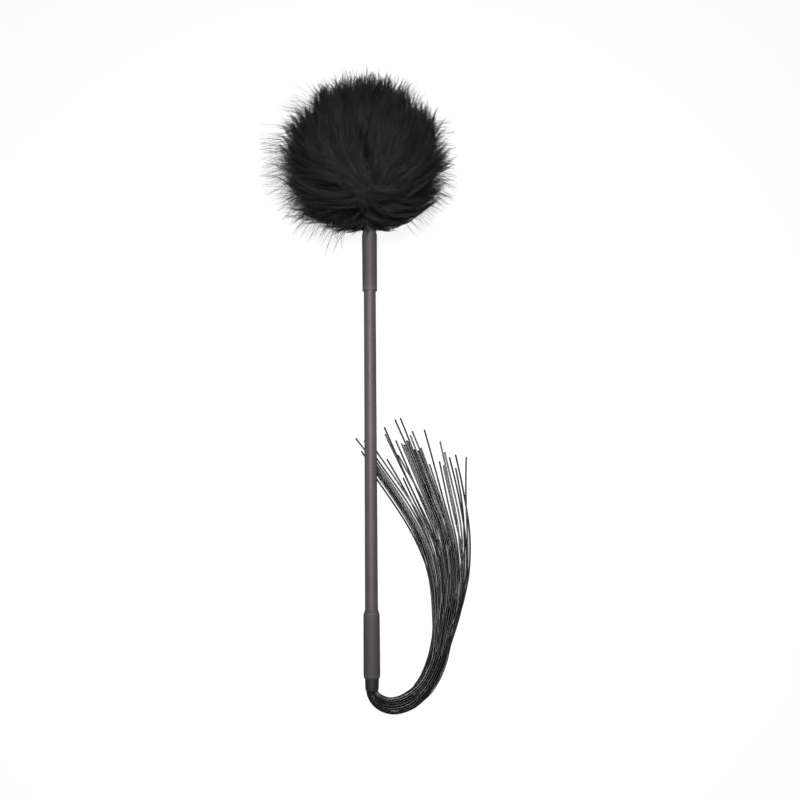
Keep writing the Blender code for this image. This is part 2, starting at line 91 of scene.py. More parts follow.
def turned(name):
    """(along the handle, radius) of each corner of a turned CAD node."""
    offset = node_points(name) - mouth
    along = offset @ axis
    return along, np.linalg.norm(offset - np.outer(along, axis), axis=1)


def span(name):
    """Where a turned CAD node starts and ends, and its outer and bore radii."""
    along, radius = turned(name)
    return along.min(), along.max(), radius.max(), radius.min()


# ----------------------------------------------------------------- mesh building
LATHE_SIDES = 96
CORNER_STEPS = 7
RUN_STEP = 14 * 0.35    # straight runs of an outline are cut into pieces near this long


def build(name, verts, faces, material, attributes):
    """A smooth mesh object from points and a list of index arrays, one per face size."""
    mesh = bpy.data.meshes.new(name)
    verts = np.asarray(verts, np.float32) * MM
    groups = [np.asarray(group, np.int32) for group in faces]
    corners = np.concatenate([group.reshape(-1) for group in groups])
    sizes = np.concatenate([np.full(len(g), g.shape[1], np.int32) for g in groups])
    starts = np.concatenate([[0], np.cumsum(sizes)[:-1]]).astype(np.int32)
    mesh.vertices.add(len(verts))
    mesh.vertices.foreach_set("co", verts.reshape(-1))
    mesh.loops.add(len(corners))
    mesh.loops.foreach_set("vertex_index", corners)
    mesh.polygons.add(len(sizes))
    mesh.polygons.foreach_set("loop_start", starts)
    mesh.polygons.foreach_set("loop_total", sizes)
    mesh.polygons.foreach_set("use_smooth", np.full(len(sizes), True))
    mesh.update(calc_edges=True)
    mesh.validate()
    for key, values in attributes.items():
        layer = mesh.attributes.new(key, "FLOAT", "POINT")
        layer.data.foreach_set("value", np.asarray(values, np.float32))
    mesh.materials.append(material)
    obj = bpy.data.objects.new(name, mesh)
    bpy.context.scene.collection.objects.link(obj)
    return obj


def ring_quads(rings, sides, closed=False):
    """Quads between successive rings of corners; closed joins the last ring to the first."""
    i = np.arange(rings if closed else rings - 1)[:, None]
    k = np.arange(sides)[None, :]
    after = (i + 1) % rings
    beside = (k + 1) % sides
    quads = [i * sides + k, i * sides + beside, after * sides + beside, after * sides + k]
    return np.stack(quads, -1).reshape(-1, 4)


def bezier(t, start, middle, end):
    return (1 - t) ** 2 * start + 2 * (1 - t) * t * middle + t * t * end


def hermite(t, start, end, length, start_slope, end_slope):
    return ((2 * t**3 - 3 * t**2 + 1) * start + (t**3 - 2 * t**2 + t) * length * start_slope
            + (-2 * t**3 + 3 * t**2) * end + (t**3 - t**2) * length * end_slope)


def smooth_profile(outline):
    """A closed outline of (along, radius, softness) corners, each rounded by its softness."""
    rounded = []
    count = len(outline)
    for i, (along, radius, softness) in enumerate(outline):
        corner = np.array([along, radius], float)
        back = np.array(outline[(i - 1) % count][:2], float) - corner
        on = np.array(outline[(i + 1) % count][:2], float) - corner
        back_length, on_length = np.linalg.norm(back), np.linalg.norm(on)
        cut = min(softness, 0.48 * back_length, 0.48 * on_length)
        if cut < 1e-4:
            rounded.append(corner)
            continue
        first = corner + back / back_length * cut
        last = corner + on / on_length * cut
        rounded += [bezier(k / CORNER_STEPS, first, corner, last)
                    for k in range(CORNER_STEPS + 1)]
    dense = []
    for i, point in enumerate(rounded):
        following = rounded[(i + 1) % len(rounded)]
        pieces = max(1, int(np.linalg.norm(following - point) / RUN_STEP))
        dense += [point + (following - point) * k / pieces for k in range(pieces)]
    return np.array(dense)


def unevenness(amount, seed):
    """Faint swelling of a sleeve shrunk over a rod."""
    draw = np.random.default_rng(seed)
    waves = [(draw.uniform(0.02, 0.22), draw.integers(0, 3), draw.uniform(0, 6.28))
             for _ in range(6)]

    def swell(along, angle):
        return amount * sum(np.sin(pitch * along + lobes * angle + phase)
                            for pitch, lobes, phase in waves) / 3
    return swell


def lathe(name, outline, material, swell=None, worn_lit_rims=()):
    """Turns a closed outline about the handle axis.

    `swell` pushes all but the bore in and out; the last argument lists the (along, width) of rims made lighter,
    partly as wear and partly as a painted highlight.
    """
    profile = smooth_profile(outline)
    along = np.repeat(profile[:, 0], LATHE_SIDES)
    radius = np.repeat(profile[:, 1], LATHE_SIDES)
    angle = np.tile(2 * np.pi * np.arange(LATHE_SIDES) / LATHE_SIDES, len(profile))
    if swell is not None:
        outside = np.clip((radius - profile[:, 1].min() - 0.05) / 0.25, 0.0, 1.0)
        radius = radius + swell(along, angle) * outside
    verts = (mouth + np.outer(along, axis) + (radius * np.cos(angle))[:, None] * side
             + (radius * np.sin(angle))[:, None] * upward)
    quads = ring_quads(len(profile), LATHE_SIDES, closed=True)
    # the signed area tells which way the outline runs; the faces must look outwards
    x, y = profile[:, 0], profile[:, 1]
    if 0.5 * np.sum(x * np.roll(y, -1) - np.roll(x, -1) * y) > 0:
        quads = quads[:, ::-1]
    # marks the lighter rims: partly wear, partly painted highlight
    edge = np.zeros(len(along))
    for place, width in worn_lit_rims:
        edge = np.maximum(edge, np.exp(-((along - place) / width) ** 2))
    return build(name, verts, [quads], material, {"edge": edge})


# --------------------------------------------------------------- material helpers
MIX_FIRST, MIX_SECOND, MIX_RESULT = 6, 7, 2     # the Mix node's colour sockets


def new_material(name):
    material = bpy.data.materials.new(name)
    material.use_nodes = True
    tree = material.node_tree
    return material, tree, next(n for n in tree.nodes if n.type == "BSDF_PRINCIPLED")


def feed(tree, value, socket):
    """Gives a socket a link, a colour or a number."""
    if isinstance(value, tuple):
        socket.default_value = (*value, 1.0)
    elif isinstance(value, (int, float)):
        socket.default_value = value
    else:
        tree.links.new(value, socket)


def noise(tree, scale, detail=3.0, rough=0.5, stretch=None):
    texture = tree.nodes.new("ShaderNodeTexNoise")
    texture.inputs["Scale"].default_value = scale
    texture.inputs["Detail"].default_value = detail
    texture.inputs["Roughness"].default_value = rough
    coords = tree.nodes.new("ShaderNodeTexCoord").outputs["Object"]
    if stretch is not None:
        mapping = tree.nodes.new("ShaderNodeMapping")
        mapping.inputs["Scale"].default_value = stretch
        tree.links.new(coords, mapping.inputs["Vector"])
        coords = mapping.outputs["Vector"]
    tree.links.new(coords, texture.inputs["Vector"])
    return texture.outputs["Fac"]


def ramp(tree, source, *stops):
    """A colour ramp; each stop is (position, colour)."""
    made = tree.nodes.new("ShaderNodeValToRGB")
    elements = made.color_ramp.elements
    while len(elements) < len(stops):
        elements.new(0.5)
    for element, (position, colour) in zip(elements, stops):
        element.position = position
        element.color = (*colour, 1.0)
    tree.links.new(source, made.inputs["Fac"])
    return made.outputs["Color"]


def remap(tree, source, to, since=(0.0, 1.0), interpolation="LINEAR"):
    made = tree.nodes.new("ShaderNodeMapRange")
    made.interpolation_type = interpolation
    for label, (lowest, highest) in (("From", since), ("To", to)):
        made.inputs[f"{label} Min"].default_value = lowest
        made.inputs[f"{label} Max"].default_value = highest
    tree.links.new(source, made.inputs["Value"])
    return made.outputs["Result"]


def bump(tree, height, strength, distance, under=None):
    """A bump, laid over another one where `under` is given."""
    made = tree.nodes.new("ShaderNodeBump")
    made.inputs["Strength"].default_value = strength
    made.inputs["Distance"].default_value = distance
    tree.links.new(height, made.inputs["Height"])
    if under is not None:
        tree.links.new(under, made.inputs["Normal"])
    return made.outputs["Normal"]


def mix_colour(tree, factor, first, second):
    made = tree.nodes.new("ShaderNodeMix")
    made.data_type = "RGBA"
    tree.links.new(factor, made.inputs["Factor"])
    feed(tree, first, made.inputs[MIX_FIRST])
    feed(tree, second, made.inputs[MIX_SECOND])
    return made.outputs[MIX_RESULT]


def attribute(tree, name):
    made = tree.nodes.new("ShaderNodeAttribute")
    made.attribute_name = name
    return made.outputs["Fac"]


def maths(tree, operation, first, second):
    """A math node clamped to 0..1."""
    made = tree.nodes.new("ShaderNodeMath")
    made.operation = operation
    made.use_clamp = True
    feed(tree, first, made.inputs[0])
    feed(tree, second, made.inputs[1])
    return made.outputs[0]


def blended(tree, first, first_share, second, second_share):
    return maths(tree, "ADD", maths(tree, "MULTIPLY", first, first_share),
                 maths(tree, "MULTIPLY", second, second_share))


# --------------------------------------------------------------------- materials
def soft_touch(name, dark, light, rim, rough):
    """Matte sleeve: faint clouding, drawn-out streaks, a fine grain and lighter rims, partly rubbed wear and
    partly a painted highlight on the bevels.
    """
    material, tree, bsdf = new_material(name)
    cloud = noise(tree, scale=60.0, detail=4.0, rough=0.55)
    streak = noise(tree, scale=900.0, rough=0.6, stretch=(1.0, 0.06, 1.0))
    base = ramp(tree, blended(tree, cloud, 0.7, streak, 0.3), (0.32, dark), (0.68, light))
    patchy = maths(tree, "MULTIPLY", noise(tree, scale=2500.0, detail=2.0), 0.8)
    # the rims lighten patchily towards the rim colour: partly rubbed wear, partly a painted highlight where the
    # light catches the bevels
    rim_wear_and_highlight = maths(tree, "MULTIPLY", attribute(tree, "edge"), maths(tree, "ADD", patchy, 0.1))
    tree.links.new(mix_colour(tree, rim_wear_and_highlight, base, rim), bsdf.inputs["Base Color"])
    roughness = remap(tree, noise(tree, scale=400.0), to=(rough - 0.06, rough + 0.08))
    tree.links.new(roughness, bsdf.inputs["Roughness"])
    grain = noise(tree, scale=5200.0, detail=2.0, rough=0.6)
    fine = bump(tree, grain, strength=0.25, distance=0.00006)
    drawn = bump(tree, streak, strength=0.12, distance=0.0001, under=fine)
    tree.links.new(drawn, bsdf.inputs["Normal"])
    bsdf.inputs["Specular IOR Level"].default_value = 0.45
    return material


def rubber(name, dark, light, rough):
    """Satin black cord, each strand with a painted shade of its own, standing for the shade between neighbours:
    the lighter it is, the shinier.
    """
    material, tree, bsdf = new_material(name)
    mottle = noise(tree, scale=60.0)
    # the tone attribute carries each strand's painted shade and also sets its shine
    shade = blended(tree, mottle, 0.2, attribute(tree, "tone_and_painted_light"), 0.8)
    colour = ramp(tree, shade, (0.2, dark), (0.85, light))
    tree.links.new(colour, bsdf.inputs["Base Color"])
    dulled = noise(tree, scale=120.0, detail=2.0)
    roughness = remap(tree, dulled, to=(rough - 0.03, rough + 0.04))
    tree.links.new(roughness, bsdf.inputs["Roughness"])
    shine = remap(tree, shade, since=(0.05, 0.55), to=(0.10, 1.0))
    tree.links.new(shine, bsdf.inputs["Specular IOR Level"])
    bsdf.inputs["Specular Tint"].default_value = (1.0, 0.96, 1.0, 1.0)
    return material


def feather(name):
    """Near black, each barb a shade of its own, with painted light on the +X and -Y sides, with a soft sheen."""
    material, tree, bsdf = new_material(name)
    patch = noise(tree, scale=45.0, rough=0.6)
    shade = blended(tree, patch, 0.35, attribute(tree, "tone_and_painted_light"), 0.65)
    colour = ramp(tree, shade, (0.18, (0.0040, 0.0037, 0.0042)),
                  (0.50, (0.0168, 0.0160, 0.0181)), (0.82, (0.0468, 0.0446, 0.0498)))
    tree.links.new(colour, bsdf.inputs["Base Color"])
    bsdf.inputs["Roughness"].default_value = 0.48
    bsdf.inputs["Specular IOR Level"].default_value = 0.32
    bsdf.inputs["Sheen Weight"].default_value = 0.05
    bsdf.inputs["Sheen Roughness"].default_value = 0.5
    fine = bump(tree, noise(tree, scale=3000.0, detail=2.0), strength=0.1, distance=0.0001)
    tree.links.new(fine, bsdf.inputs["Normal"])
    return material


def plain(name, dark, light, rough, scale, stretch=None, depth=0.00005, metallic=0.0,
          specular=0.5):
    """One grain drives both the colour and the relief; depth is in metres."""
    material, tree, bsdf = new_material(name)
    grain = noise(tree, scale=scale, detail=4.0, rough=0.6, stretch=stretch)
    tree.links.new(ramp(tree, grain, (0.3, dark), (0.7, light)), bsdf.inputs["Base Color"])
    bsdf.inputs["Roughness"].default_value = rough
    bsdf.inputs["Metallic"].default_value = metallic
    bsdf.inputs["Specular IOR Level"].default_value = specular
    relief = bump(tree, grain, strength=0.3, distance=depth)
    tree.links.new(relief, bsdf.inputs["Normal"])
    return material


sleeve_mat = soft_touch("sleeve_soft_touch", dark=(0.084, 0.070, 0.074),
                        light=(0.106, 0.090, 0.095), rim=(0.15, 0.135, 0.14), rough=0.50)
# the ferrules take a darker copy of the sleeve's finish: painted shade for the light falling off towards the
# handle's ends
ferrule_shaded_mat = soft_touch("ferrule_soft_touch_shaded", dark=(0.068, 0.057, 0.062),
                         light=(0.086, 0.074, 0.080), rim=(0.16, 0.145, 0.15), rough=0.60)
collar_mat = soft_touch("collar_black", dark=(0.019, 0.0175, 0.018),
                        light=(0.028, 0.0265, 0.027), rim=(0.05, 0.047, 0.048), rough=0.5)
cap_mat = soft_touch("neck_cap_grey", dark=(0.050, 0.044, 0.049),
                     light=(0.066, 0.060, 0.065), rim=(0.09, 0.085, 0.088), rough=0.4)
rubber_mat = rubber("strand_rubber", dark=(0.0042, 0.0038, 0.0043),
                    light=(0.0440, 0.0405, 0.0445), rough=0.32)
feather_mat = feather("feather_black")
# near black, dull and without shine: painted shade for the deep inside of the pom
heart_shade_mat = plain("feather_heart_painted_shade", dark=(0.0015, 0.0015, 0.0016), light=(0.005, 0.005, 0.0052),
                  rough=1.0, scale=900.0, depth=0.001, specular=0.05)
steel_mat = plain("core_steel", dark=(0.42, 0.42, 0.43), light=(0.58, 0.58, 0.59),
                  rough=0.32, scale=600.0, stretch=(1.0, 0.05, 1.0), metallic=1.0)
glue_mat = plain("potting_black", dark=(0.012, 0.012, 0.013), light=(0.03, 0.03, 0.032),
                 rough=0.35, scale=250.0)
dowel_mat = plain("dowel_wood", dark=(0.30, 0.19, 0.10), light=(0.52, 0.37, 0.22),
                  rough=0.7, scale=160.0, stretch=(1.0, 0.08, 1.0), depth=0.0001)
thread_mat = plain("thread_black", dark=(0.008, 0.008, 0.009), light=(0.028, 0.027, 0.029),
                   rough=0.8, scale=2600.0, depth=0.0002)
quill_mat = plain("quill_black", dark=(0.015, 0.014, 0.015), light=(0.05, 0.047, 0.05),
                  rough=0.5, scale=500.0, stretch=(1.0, 0.1, 1.0), depth=0.0001)

# CAD pieces that keep their shape and only take a material
KEPT_PIECES = (
    ("core_rod", steel_mat), ("strand_root_plug", glue_mat), ("plume_plug", dowel_mat),
    ("plume_stem", dowel_mat), ("quill_bundle", quill_mat), ("binding_thread", thread_mat),
)
for node_name, kept_mat in KEPT_PIECES:
    slots = NODES[node_name].data.materials
    if slots:
        for slot_index in range(len(slots)):
            slots[slot_index] = kept_mat
    else:
        slots.append(kept_mat)


# ------------------------------------------------------------------------ handle
# Outlines are closed lists of (along the handle, radius, softness of the corner).
def mount_piece(obj, cad_name):
    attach(obj, "wand")
    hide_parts(cad_name)


sleeve_along, sleeve_radius = turned("rod_sleeve")
sleeve_start, sleeve_end = sleeve_along.min(), sleeve_along.max()
sleeve_bore = sleeve_radius.min()
tail_r = sleeve_radius[sleeve_along < sleeve_start + 0.5].max()
head_r = sleeve_radius[sleeve_along > sleeve_end - 0.5].max()
mount_piece(lathe("handle_sleeve", [
    (sleeve_start, sleeve_bore, 0),
    (sleeve_start, tail_r, 0.2),
    (sleeve_start + (sleeve_end - sleeve_start) * 0.5, (tail_r + head_r) / 2 - 0.03, 30.0),
    (sleeve_end, head_r, 0.2),
    (sleeve_end, sleeve_bore, 0),
], sleeve_mat, swell=unevenness(0.022, seed=3)), "rod_sleeve")

# The lower ferrule covers the collar's inner end and steps down onto the sleeve.
collar_start, collar_end, collar_r, collar_bore = span("strand_collar")
start, end, outer, _ = span("lower_ferrule")
mount_piece(lathe("ferrule_lower", [
    (start + 1.0, collar_r + 0.02, 0.0),
    (start + 1.0, outer - 0.62, 0.25),
    (start + 2.2, outer - 0.20, 0.8),
    (start + 3.8, outer - 0.01, 1.6),
    (start + 16.0, outer - 0.04, 5.0),
    (end - 1.7, outer - 0.10, 0.55),
    (end - 0.7, outer - 0.55, 0.5),
    (end + 0.4, tail_r + 0.34, 0.5),
    (end + 1.1, tail_r + 0.10, 0.4),
    (end + 1.5, tail_r + 0.03, 0.1),
    (end + 1.5, tail_r, 0.0),
    (start + 21.0, tail_r, 0.0),
    (start + 19.0, collar_r + 0.02, 0.0),
], ferrule_shaded_mat, swell=unevenness(0.03, seed=5),
    worn_lit_rims=((start + 2.9, 0.5), (end - 1.6, 0.5))), "lower_ferrule")

start, end, outer, bore = span("upper_ferrule")
mount_piece(lathe("ferrule_upper", [
    (start, bore, 0.0),
    (start, outer - 0.14, 0.22),
    (start + 8.0, outer - 0.14, 3.0),
    (end - 3.1, outer, 0.9),
    (end - 1.9, outer - 0.36, 0.6),
    (end - 0.3, bore + 0.22, 0.3),
    (end, bore + 0.08, 0.1),
    (end, bore, 0.0),
], ferrule_shaded_mat, swell=unevenness(0.02, seed=8),
    worn_lit_rims=((start + 0.15, 0.35), (end - 2.6, 0.4))), "upper_ferrule")

collar_along, collar_radius = turned("strand_collar")
mouth_r = collar_radius[collar_along < collar_start + 0.4].max()
mount_piece(lathe("collar_sleeve", [
    (collar_start - 0.1, collar_bore, 0.1),
    (collar_start - 0.1, mouth_r - 0.02, 0.3),
    (collar_start + 2.2, mouth_r + 0.2, 1.2),
    (collar_start + 5.2, collar_r, 1.2),
    (collar_end, collar_r, 0.0),
    (collar_end, collar_bore, 0.0),
], collar_mat, swell=unevenness(0.05, seed=11),
    worn_lit_rims=((collar_start, 0.3),)), "strand_collar")

cap_start, cap_end, cap_r, cap_bore = span("neck_cap")
mount_piece(lathe("neck_cap_ring", [
    (cap_start, cap_bore, 0.0),
    (cap_start, cap_r - 0.30, 0.2),
    (cap_start + 0.5, cap_r + 0.02, 0.3),
    (cap_start + 1.5, cap_r - 0.05, 0.7),
    (cap_start + 2.9, cap_r - 0.9, 0.9),
    (cap_end, cap_r - 2.0, 0.5),
    (cap_end, cap_bore, 0.0),
], cap_mat), "neck_cap")

# ------------------------------------------------------- strands: the bundle's line
COUNT = 36
STRAND_R = 0.67
ROOT_R = 0.575          # squeezed by the collar
STRAND_SIDES = 10
INSIDE = 2.7            # how far inside the collar the strands start

strand_nodes = sorted(n for n in NODES if n.startswith("strand_") and n[7:].isdigit())
PIVOTS = [joint_place(n) for n in ("tail_curl", "tail_curl_b", "tail_curl_c", "tail_curl_d")]
rng = np.random.default_rng(21)


def ring_centres(name):
    """The places a CAD strand passes through: the middle of each whole ring and both ends."""
    points = node_points(name)
    points = points[np.argsort(points[:, 1])]
    rings = np.split(points, np.where(np.diff(points[:, 1]) > 3.0)[0] + 1)
    return np.array([ring.mean(axis=0) for k, ring in enumerate(rings)
                     if len(ring) == 6 or k in (0, len(rings) - 1)])


def clamped_spline(keys, start_way, end_way):
    """A cubic spline through keys, heading along given ways at its ends: (arcs, points)."""
    keys = np.asarray(keys, float)
    gaps = np.linalg.norm(np.diff(keys, axis=0), axis=1)
    count = len(keys)
    system = np.zeros((count, count))
    known = np.zeros((count, 3))
    system[0, 0] = system[-1, -1] = 1.0
    known[0], known[-1] = start_way, end_way
    for i in range(1, count - 1):
        before, after = gaps[i - 1], gaps[i]
        system[i, i - 1:i + 2] = 1 / before, 2 / before + 2 / after, 1 / after
        known[i] = 3 * ((keys[i] - keys[i - 1]) / before ** 2
                        + (keys[i + 1] - keys[i]) / after ** 2)
    slopes = np.linalg.solve(system, known)
    rows = []
    for i in range(count - 1):
        t = np.linspace(0, 1, 60, endpoint=i == count - 2)[:, None]
        rows.append(hermite(t, keys[i], keys[i + 1], gaps[i], slopes[i], slopes[i + 1]))
    points = np.vstack(rows)
    steps = np.linalg.norm(np.diff(points, axis=0), axis=1)
    return np.concatenate([[0], np.cumsum(steps)]), points


cad_strands = [ring_centres(n) for n in strand_nodes]
base = np.array([p[0] for p in cad_strands])
base_mid = base.mean(axis=0)
lead = units(np.array([p[1] - p[0] for p in cad_strands]))

# From the collar's mouth, through the tail's joints, to where the strands spread.
line_arc, line_points = clamped_spline([mouth, *PIVOTS, base_mid], -axis,
                                       unit(lead.mean(axis=0)))
TOTAL = line_arc[-1]


def centre(arc):
    """The bundle's middle at an arc length from the mouth; below 0 it is in the collar."""
    if arc <= 0:
        return mouth - axis * arc
    return np.array([np.interp(arc, line_arc, line_points[:, k]) for k in range(3)])


def across(arc):
    """The level left hand and the upward hand of the bundle at an arc length."""
    ahead = unit(centre(arc + 0.4) - centre(arc - 0.4))
    left = unit(np.cross([0.0, 0.0, 1.0], ahead))
    return left, np.cross(ahead, left)


pivot_arc = [line_arc[np.argmin(np.linalg.norm(line_points - p, axis=1))] for p in PIVOTS]
# where the bundle is cut into pieces: between the tail's joints
CUTS = [
    -INSIDE,
    0.63 * pivot_arc[0],
    *[(pivot_arc[k] + pivot_arc[k + 1]) / 2 for k in range(3)],
    pivot_arc[3] + 0.30 * (TOTAL - pivot_arc[3]),
]


# ------------------------------------------------- strands: packed within the bundle
# Places within a section are (left, up) from the bundle's middle.
def collar_seats():
    """Where strands stand in the collar: hexagonal rings of six, twelve and eighteen."""
    pitch = 2 * ROOT_R + 0.015
    seats = []
    for ring in (1, 2, 3):
        for k in range(6 * ring):
            corner = math.radians(60 * (k // ring) + 11)
            following = math.radians(60 * (k // ring + 1) + 11)
            part = (k % ring) / ring
            seats.append(tuple(pitch * ring * ((1 - part) * turn(corner) + part * turn(following))
                               for turn in (math.cos, math.sin)))
    return np.array(seats)


def seated(seats, finish):
    """Each strand's seat: it keeps roughly to its side, sometimes swapping with a neighbour."""
    order_seat = np.argsort(seats[:, 0] + 0.15 * rng.normal(size=COUNT))
    order_base = np.argsort(finish[:, 0] + 1.0 * rng.normal(size=COUNT))
    seat_of = np.empty(COUNT, int)
    for first in range(0, COUNT, 6):
        some_seats = order_seat[first:first + 6]
        some_strands = order_base[first:first + 6]
        some_seats = some_seats[np.argsort(seats[some_seats, 1])]
        height = finish[some_strands, 1] + 0.5 * rng.normal(size=6)
        seat_of[some_strands[np.argsort(height)]] = some_seats
    return seats[seat_of]


# the bundle has come back round to +Y at its end, so its left is -X there
finish_at = np.stack([-(base[:, 0] - base_mid[0]), base[:, 2] - base_mid[2]], 1)
start_at = seated(collar_seats(), finish_at)

STATION = np.concatenate([np.linspace(-INSIDE, pivot_arc[0], 10),
                          np.linspace(pivot_arc[0], TOTAL, 34)[1:]])
share = np.clip(STATION / TOTAL, 0, 1)


def radius_along(arc):
    """A strand swells to its full radius as it leaves the collar."""
    return ROOT_R + (STRAND_R - ROOT_R) * np.clip((arc + 0.5) / 7.0, 0, 1)


# (share of the bundle's length, value)
HALF_WIDTH = ((0, 4.15), (0.05, 4.4), (0.13, 5.2), (0.25, 6.0), (0.45, 6.6), (0.6, 7.2),
              (0.75, 7.8), (0.88, 8.2), (1.0, 8.3))
HALF_HEIGHT = ((0, 4.15), (0.12, 4.3), (0.35, 4.25), (0.6, 3.8), (1.0, 3.1))
SIDE_GAP = ((0, 1.0), (0.04, 1.0), (0.16, 1.32), (0.5, 1.42), (1.0, 1.36))


def at_stations(table):
    return np.interp(share, *zip(*table))


def packed_bundle():
    """The places of all strands at each station: (station, strand, left and up)."""
    radius = radius_along(STATION)
    ease = (share * share * (3 - 2 * share))[:, None, None]
    want = start_at[None] * (1 - ease) + finish_at[None] * ease
    # strands wander about their places midway
    phase = rng.uniform(0, 2 * np.pi, (COUNT, 2))
    turns = rng.uniform(1.5, 3.4, (COUNT, 2))
    want = want + (np.sin(2 * np.pi * share)[:, None, None] ** 2
                   * np.sin(turns * share[:, None, None] * np.pi + phase) * (0.85, 0.3))
    half_width = at_stations(HALF_WIDTH)
    floor_gap = np.array([centre(arc)[2] for arc in STATION]) - 0.35
    half_height = np.minimum(at_stations(HALF_HEIGHT), floor_gap)
    half_height[STATION < 0.2] = 4.15
    # strands lying side by side are a little apart, with the ones below showing between
    side_gap = at_stations(SIDE_GAP)[:, None, None]
    # widen the middle of the bundle to fill its width
    widest = np.sort(np.abs(want[..., 0]), axis=1)[:, -3]
    fill = np.clip((half_width - radius) / np.maximum(widest, 0.5), 0.8, 1.7)
    fill = (1 + (fill - 1) * np.clip((share - 0.03) / 0.15, 0, 1)
            * np.clip((1.0 - share) / 0.12, 0, 1))
    want[..., 0] *= fill[:, None]

    places = want.copy()
    need = 2 * radius[:, None, None] * 0.985
    rim = np.stack([half_width - radius, half_height - radius], -1)[:, None, :]
    for step in range(700):
        # neighbours push each other apart within a section
        gap = places[:, :, None, :] - places[:, None, :, :]
        dist = np.sqrt((gap[..., 0] / side_gap) ** 2 + gap[..., 1] ** 2) + 1e-9
        over = np.clip(need - dist, 0, None)
        over[:, np.arange(COUNT), np.arange(COUNT)] = 0
        places += (gap / dist[..., None] * over[..., None]).sum(2) * 0.32
        places += (want - places) * (0.05 if step < 450 else 0.01)
        beyond = np.sqrt(((places / rim) ** 2).sum(-1))
        places /= np.maximum(beyond, 1.0)[..., None] ** 0.6
        # each strand stays smooth along its length
        if step % 3 == 0 and step < 660:
            places[1:-1] = 0.5 * places[1:-1] + 0.25 * (places[:-2] + places[2:])
        places[0], places[1] = start_at, start_at
        places[-1] = finish_at
    return places


packed = packed_bundle()

# ------------------------------------------------- strands: spread over the table
ROW_SPACING = 4.5
tip_y = np.array([p[-1, 1] for p in cad_strands])
rows_y = np.arange(base_mid[1] + 5.0, tip_y.max() + ROW_SPACING, ROW_SPACING)


def cad_rows():
    """The (x, z) of each CAD strand at each row in y, eased into long even curves."""
    aim = np.empty((COUNT, len(rows_y), 2))
    for i, points in enumerate(cad_strands):
        within = np.clip(rows_y, points[0, 1], points[-1, 1])
        for part, column in ((0, 0), (1, 2)):
            aim[i, :, part] = np.interp(within, points[:, 1], points[:, column])
        beyond = rows_y > points[-1, 1]
        lean = (points[-1, 0] - points[-2, 0]) / (points[-1, 1] - points[-2, 1])
        aim[i, beyond, 0] = points[-1, 0] + (rows_y[beyond] - points[-1, 1]) * lean
    for _ in range(9):
        aim[:, 1:-1] = 0.5 * aim[:, 1:-1] + 0.25 * (aim[:, :-2] + aim[:, 2:])
    return aim


def settled_spread():
    """The (x, z) of each strand at each row, resting on each other and on the table."""
    aim = cad_rows()
    places = aim.copy()
    wave = (np.sin(rows_y[None, :] / 23.0 + rng.uniform(0, 6.28, (COUNT, 1))) * 0.55
            * np.clip((rows_y - rows_y[0]) / 30.0, 0, 1)[None, :])
    aim[:, :, 0] += wave
    reaches = rows_y[None, :] <= tip_y[:, None] + 0.5 * ROW_SPACING
    both_reach = reaches[:, None, :] & reaches[None, :, :]
    for step in range(620):
        # strands crossing a row at a slant are wider there
        slope = np.gradient(places[:, :, 0], rows_y, axis=1)
        cosine = 1.0 / np.sqrt(1.0 + slope**2)
        gap = places[:, None] - places[None, :]
        gap_x = gap[..., 0] * (0.5 * (cosine[:, None] + cosine[None, :]))
        dist = np.sqrt((gap_x / 1.09) ** 2 + gap[..., 1] ** 2) + 1e-6
        over = np.clip(2 * STRAND_R - dist, 0, None) * both_reach
        over[np.arange(COUNT), np.arange(COUNT)] = 0
        push = over / dist
        places[..., 0] += (gap_x * push).sum(1) * 0.24
        places[..., 1] += (gap[..., 1] * push).sum(1) * 0.34
        if step <= 520:
            places[..., 0] += (aim[..., 0] - places[..., 0]) * 0.05
            places[..., 1] -= 0.02
        # x is smoothed relative to the aim, z as it stands
        if step % 2 == 0 and step < 590:
            off = places - aim
            off[..., 1] = places[..., 1]
            off[:, 1:-1] = 0.5 * off[:, 1:-1] + 0.25 * (off[:, :-2] + off[:, 2:])
            places[..., 0] = aim[..., 0] + off[..., 0]
            places[..., 1] = off[..., 1]
        places[..., 1] = np.maximum(places[..., 1], STRAND_R + 0.3)
        places[:, 0] = 0.5 * places[:, 0] + 0.5 * aim[:, 0]
    return places


spread = settled_spread()

# -------------------------------------------------------- strands: whole, then cut
KEEP = len(STATION) - 3         # the last stations give way to the spread rows
PER_PIECE = 16                  # rings along each bending piece
knot_arc = np.concatenate([STATION[:KEEP], [TOTAL + 4.0]])
knot_number = np.arange(len(knot_arc))
ring_arcs = np.concatenate(
    [np.linspace(CUTS[k], CUTS[k + 1], PER_PIECE + 1)[:-1] for k in range(5)]
    + [np.linspace(CUTS[5], knot_arc[-1], 26)])
middles = np.array([centre(arc) for arc in STATION])
hands = [across(arc) for arc in STATION]


def strand_path(i):
    """Strand i from the collar to its tip, eased where the bundle opens out."""
    rows = [middles[k] + hands[k][0] * packed[k, i, 0] + hands[k][1] * packed[k, i, 1]
            for k in range(KEEP)]
    keep = rows_y < tip_y[i] - 1.0
    level = np.stack([spread[i, keep, 0], rows_y[keep], spread[i, keep, 1]], 1)
    tip = np.array([[np.interp(tip_y[i], rows_y, spread[i, :, 0]), tip_y[i],
                     np.interp(tip_y[i], rows_y, spread[i, :, 1])]])
    path = np.vstack([rows, level, tip])
    number = np.arange(len(path))
    opening = np.interp(number, (KEEP - 20, KEEP - 8, KEEP + 3, KEEP + 9), (0, 0.5, 0.5, 0))
    ending = np.interp(number, (len(path) - 4, len(path) - 1), (0.5, 0))
    soft = np.minimum(opening, ending)[1:-1, None]
    for _ in range(22):
        gaps = np.linalg.norm(np.diff(path, axis=0), axis=1)[:, None] + 1e-6
        between = ((path[:-2] / gaps[:-1] + path[2:] / gaps[1:])
                   / (1 / gaps[:-1] + 1 / gaps[1:]))
        path[1:-1] += (between - path[1:-1]) * soft
    return path


